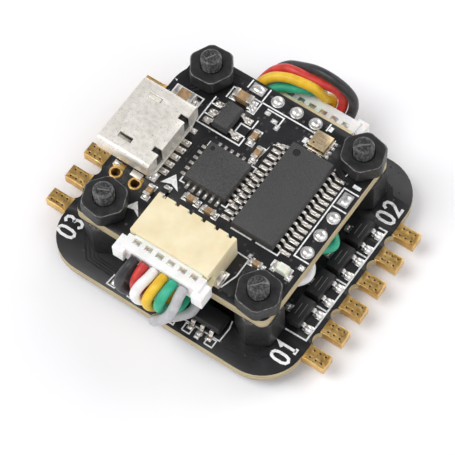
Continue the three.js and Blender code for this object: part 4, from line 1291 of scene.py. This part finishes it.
def make_flat_chips():
    """The processors under the boards, which hang from their faces."""
    for node, level, pitch, count in [("microcontroller", CONTROLLER, 0.5, 12)] + [
            (f"motor_processor_{k}", DRIVER, 0.5, 5) for k in range(1, 5)]:
        piece = Piece(level)
        x, y, z, width, depth, height = body_block(piece, node, level)
        piece.make(f"{node}_body", ["moulding_compound"], replaces=node, bevel=0.06)
        pads = Piece(level)
        pad_ring(pads, x, y, width / 2, depth / 2, pitch, count, z + height + 0.02, -1, 0.5, 0.24)
        pads.prism([circle(x - width / 2 + 0.5, y + depth / 2 - 0.5, 0.17, 20)], z - 0.008, z + 0.002, 1)
        pads.make(f"{node}_pads", ["tinned_contact", "black_package"], smooth=50)


def make_passives():
    for node in PASSIVES:
        x, y, z, width, depth, height = node_box(node, CONTROLLER)
        lengthwise = width > depth
        long, short = max(width, depth), min(width, depth)
        cap = 0.2 * long + 0.04
        piece = Piece(CONTROLLER + Vector((0, 0, z)), x, y, 0 if lengthwise else math.pi / 2)
        piece.block(0, 0, 0.02, long - 2 * cap + 0.02, short - 0.06, height - 0.06)
        for side in (-1, 1):
            piece.block(side * (long / 2 - cap / 2), 0, 0, cap, short, height, 1)
            piece.block(side * (long / 2 + 0.02), 0, -z, cap + 0.3, short + 0.14, 0.04, 2)
            piece.dome(side * (long / 2 + 0.05), 0, 0.01, 0.42, short * 1.02, height * 0.45, 2)
        kind, slot = ("black_package", "epoxy") if node == "port_resistor" else ("ceramic", "ceramic")
        piece.make(f"{node}_body", [kind, "tinned_contact", "solder"],
                   replaces=node, bevel=0.05, smooth=50)


def make_lamp():
    x, y, z, width, depth, height = node_box("status_lamp", CONTROLLER)
    piece = Piece(CONTROLLER)
    piece.block(x, y, z, width, depth, 0.2, 0)
    piece.block(x, y, z + 0.2, width * 0.62, depth, height - 0.2, 0, 0.08)
    piece.dome(x, y, z + height - 0.08, width * 0.3, depth * 0.6, 0.07, 0)
    for side in (-1, 1):
        piece.block(x + side * width * 0.43, y, z + 0.02, width * 0.16, depth * 0.9, 0.22, 1)
    piece.make("status_lamp_body", ["lamp_body", "tinned_contact"],
               replaces="status_lamp", bevel=0.04)


make_video_chip()
make_motion_sensor()
make_pressure_sensor()
make_small_packages()
make_flat_chips()
make_passives()
make_lamp()


# ---------- stage ----------
def make_stage():
    mesh = bpy.data.meshes.new("floor")
    reach, sides = 3.0, 64
    rim = [(x, y, 0) for x, y in circle(0, 0, reach, sides)]
    mesh.from_pydata(rim, [], [list(range(sides))])
    paper = Finish("paper", 0.9)
    paper.color(paper.noise(60.0), (0.955, 0.95, 0.96), (0.975, 0.972, 0.98))
    mesh.materials.append(paper.material)
    floor = bpy.data.objects.new("floor", mesh)
    bpy.context.scene.collection.objects.link(floor)


def make_light():
    world = bpy.data.worlds.new("studio")
    world.use_nodes = True
    nodes, link = world.node_tree.nodes, world.node_tree.links.new
    place = nodes.new("ShaderNodeTexCoord")
    height = nodes.new("ShaderNodeSeparateXYZ")
    ramp = nodes.new("ShaderNodeValToRGB")
    ramp.color_ramp.elements[0].position = 0.12
    ramp.color_ramp.elements[0].color = (0.86, 0.85, 0.87, 1)
    ramp.color_ramp.elements[1].position = 0.75
    ramp.color_ramp.elements[1].color = (0.20, 0.20, 0.215, 1)
    link(place.outputs["Generated"], height.inputs["Vector"])
    link(height.outputs["Z"], ramp.inputs["Fac"])
    link(ramp.outputs["Color"], nodes["Background"].inputs["Color"])
    nodes["Background"].inputs["Strength"].default_value = 1.0
    bpy.context.scene.world = world
    for name, towards, strength, soft in (
            ("key", (-0.55, -0.5, 1.1), 1.7, 38),
            ("fill", (0.75, -0.45, 0.85), 0.82, 55),
            ("back", (0.25, 1.0, 0.75), 0.82, 45)):
        light = bpy.data.lights.new(name, "SUN")
        light.energy = strength
        light.angle = math.radians(soft)
        lamp = bpy.data.objects.new(name, light)
        lamp.rotation_euler = Vector(towards).to_track_quat("Z", "Y").to_euler()
        bpy.context.scene.collection.objects.link(lamp)
    view = bpy.context.scene.view_settings
    view.view_transform = "Standard"
    view.look = "None"


make_stage()
make_light()
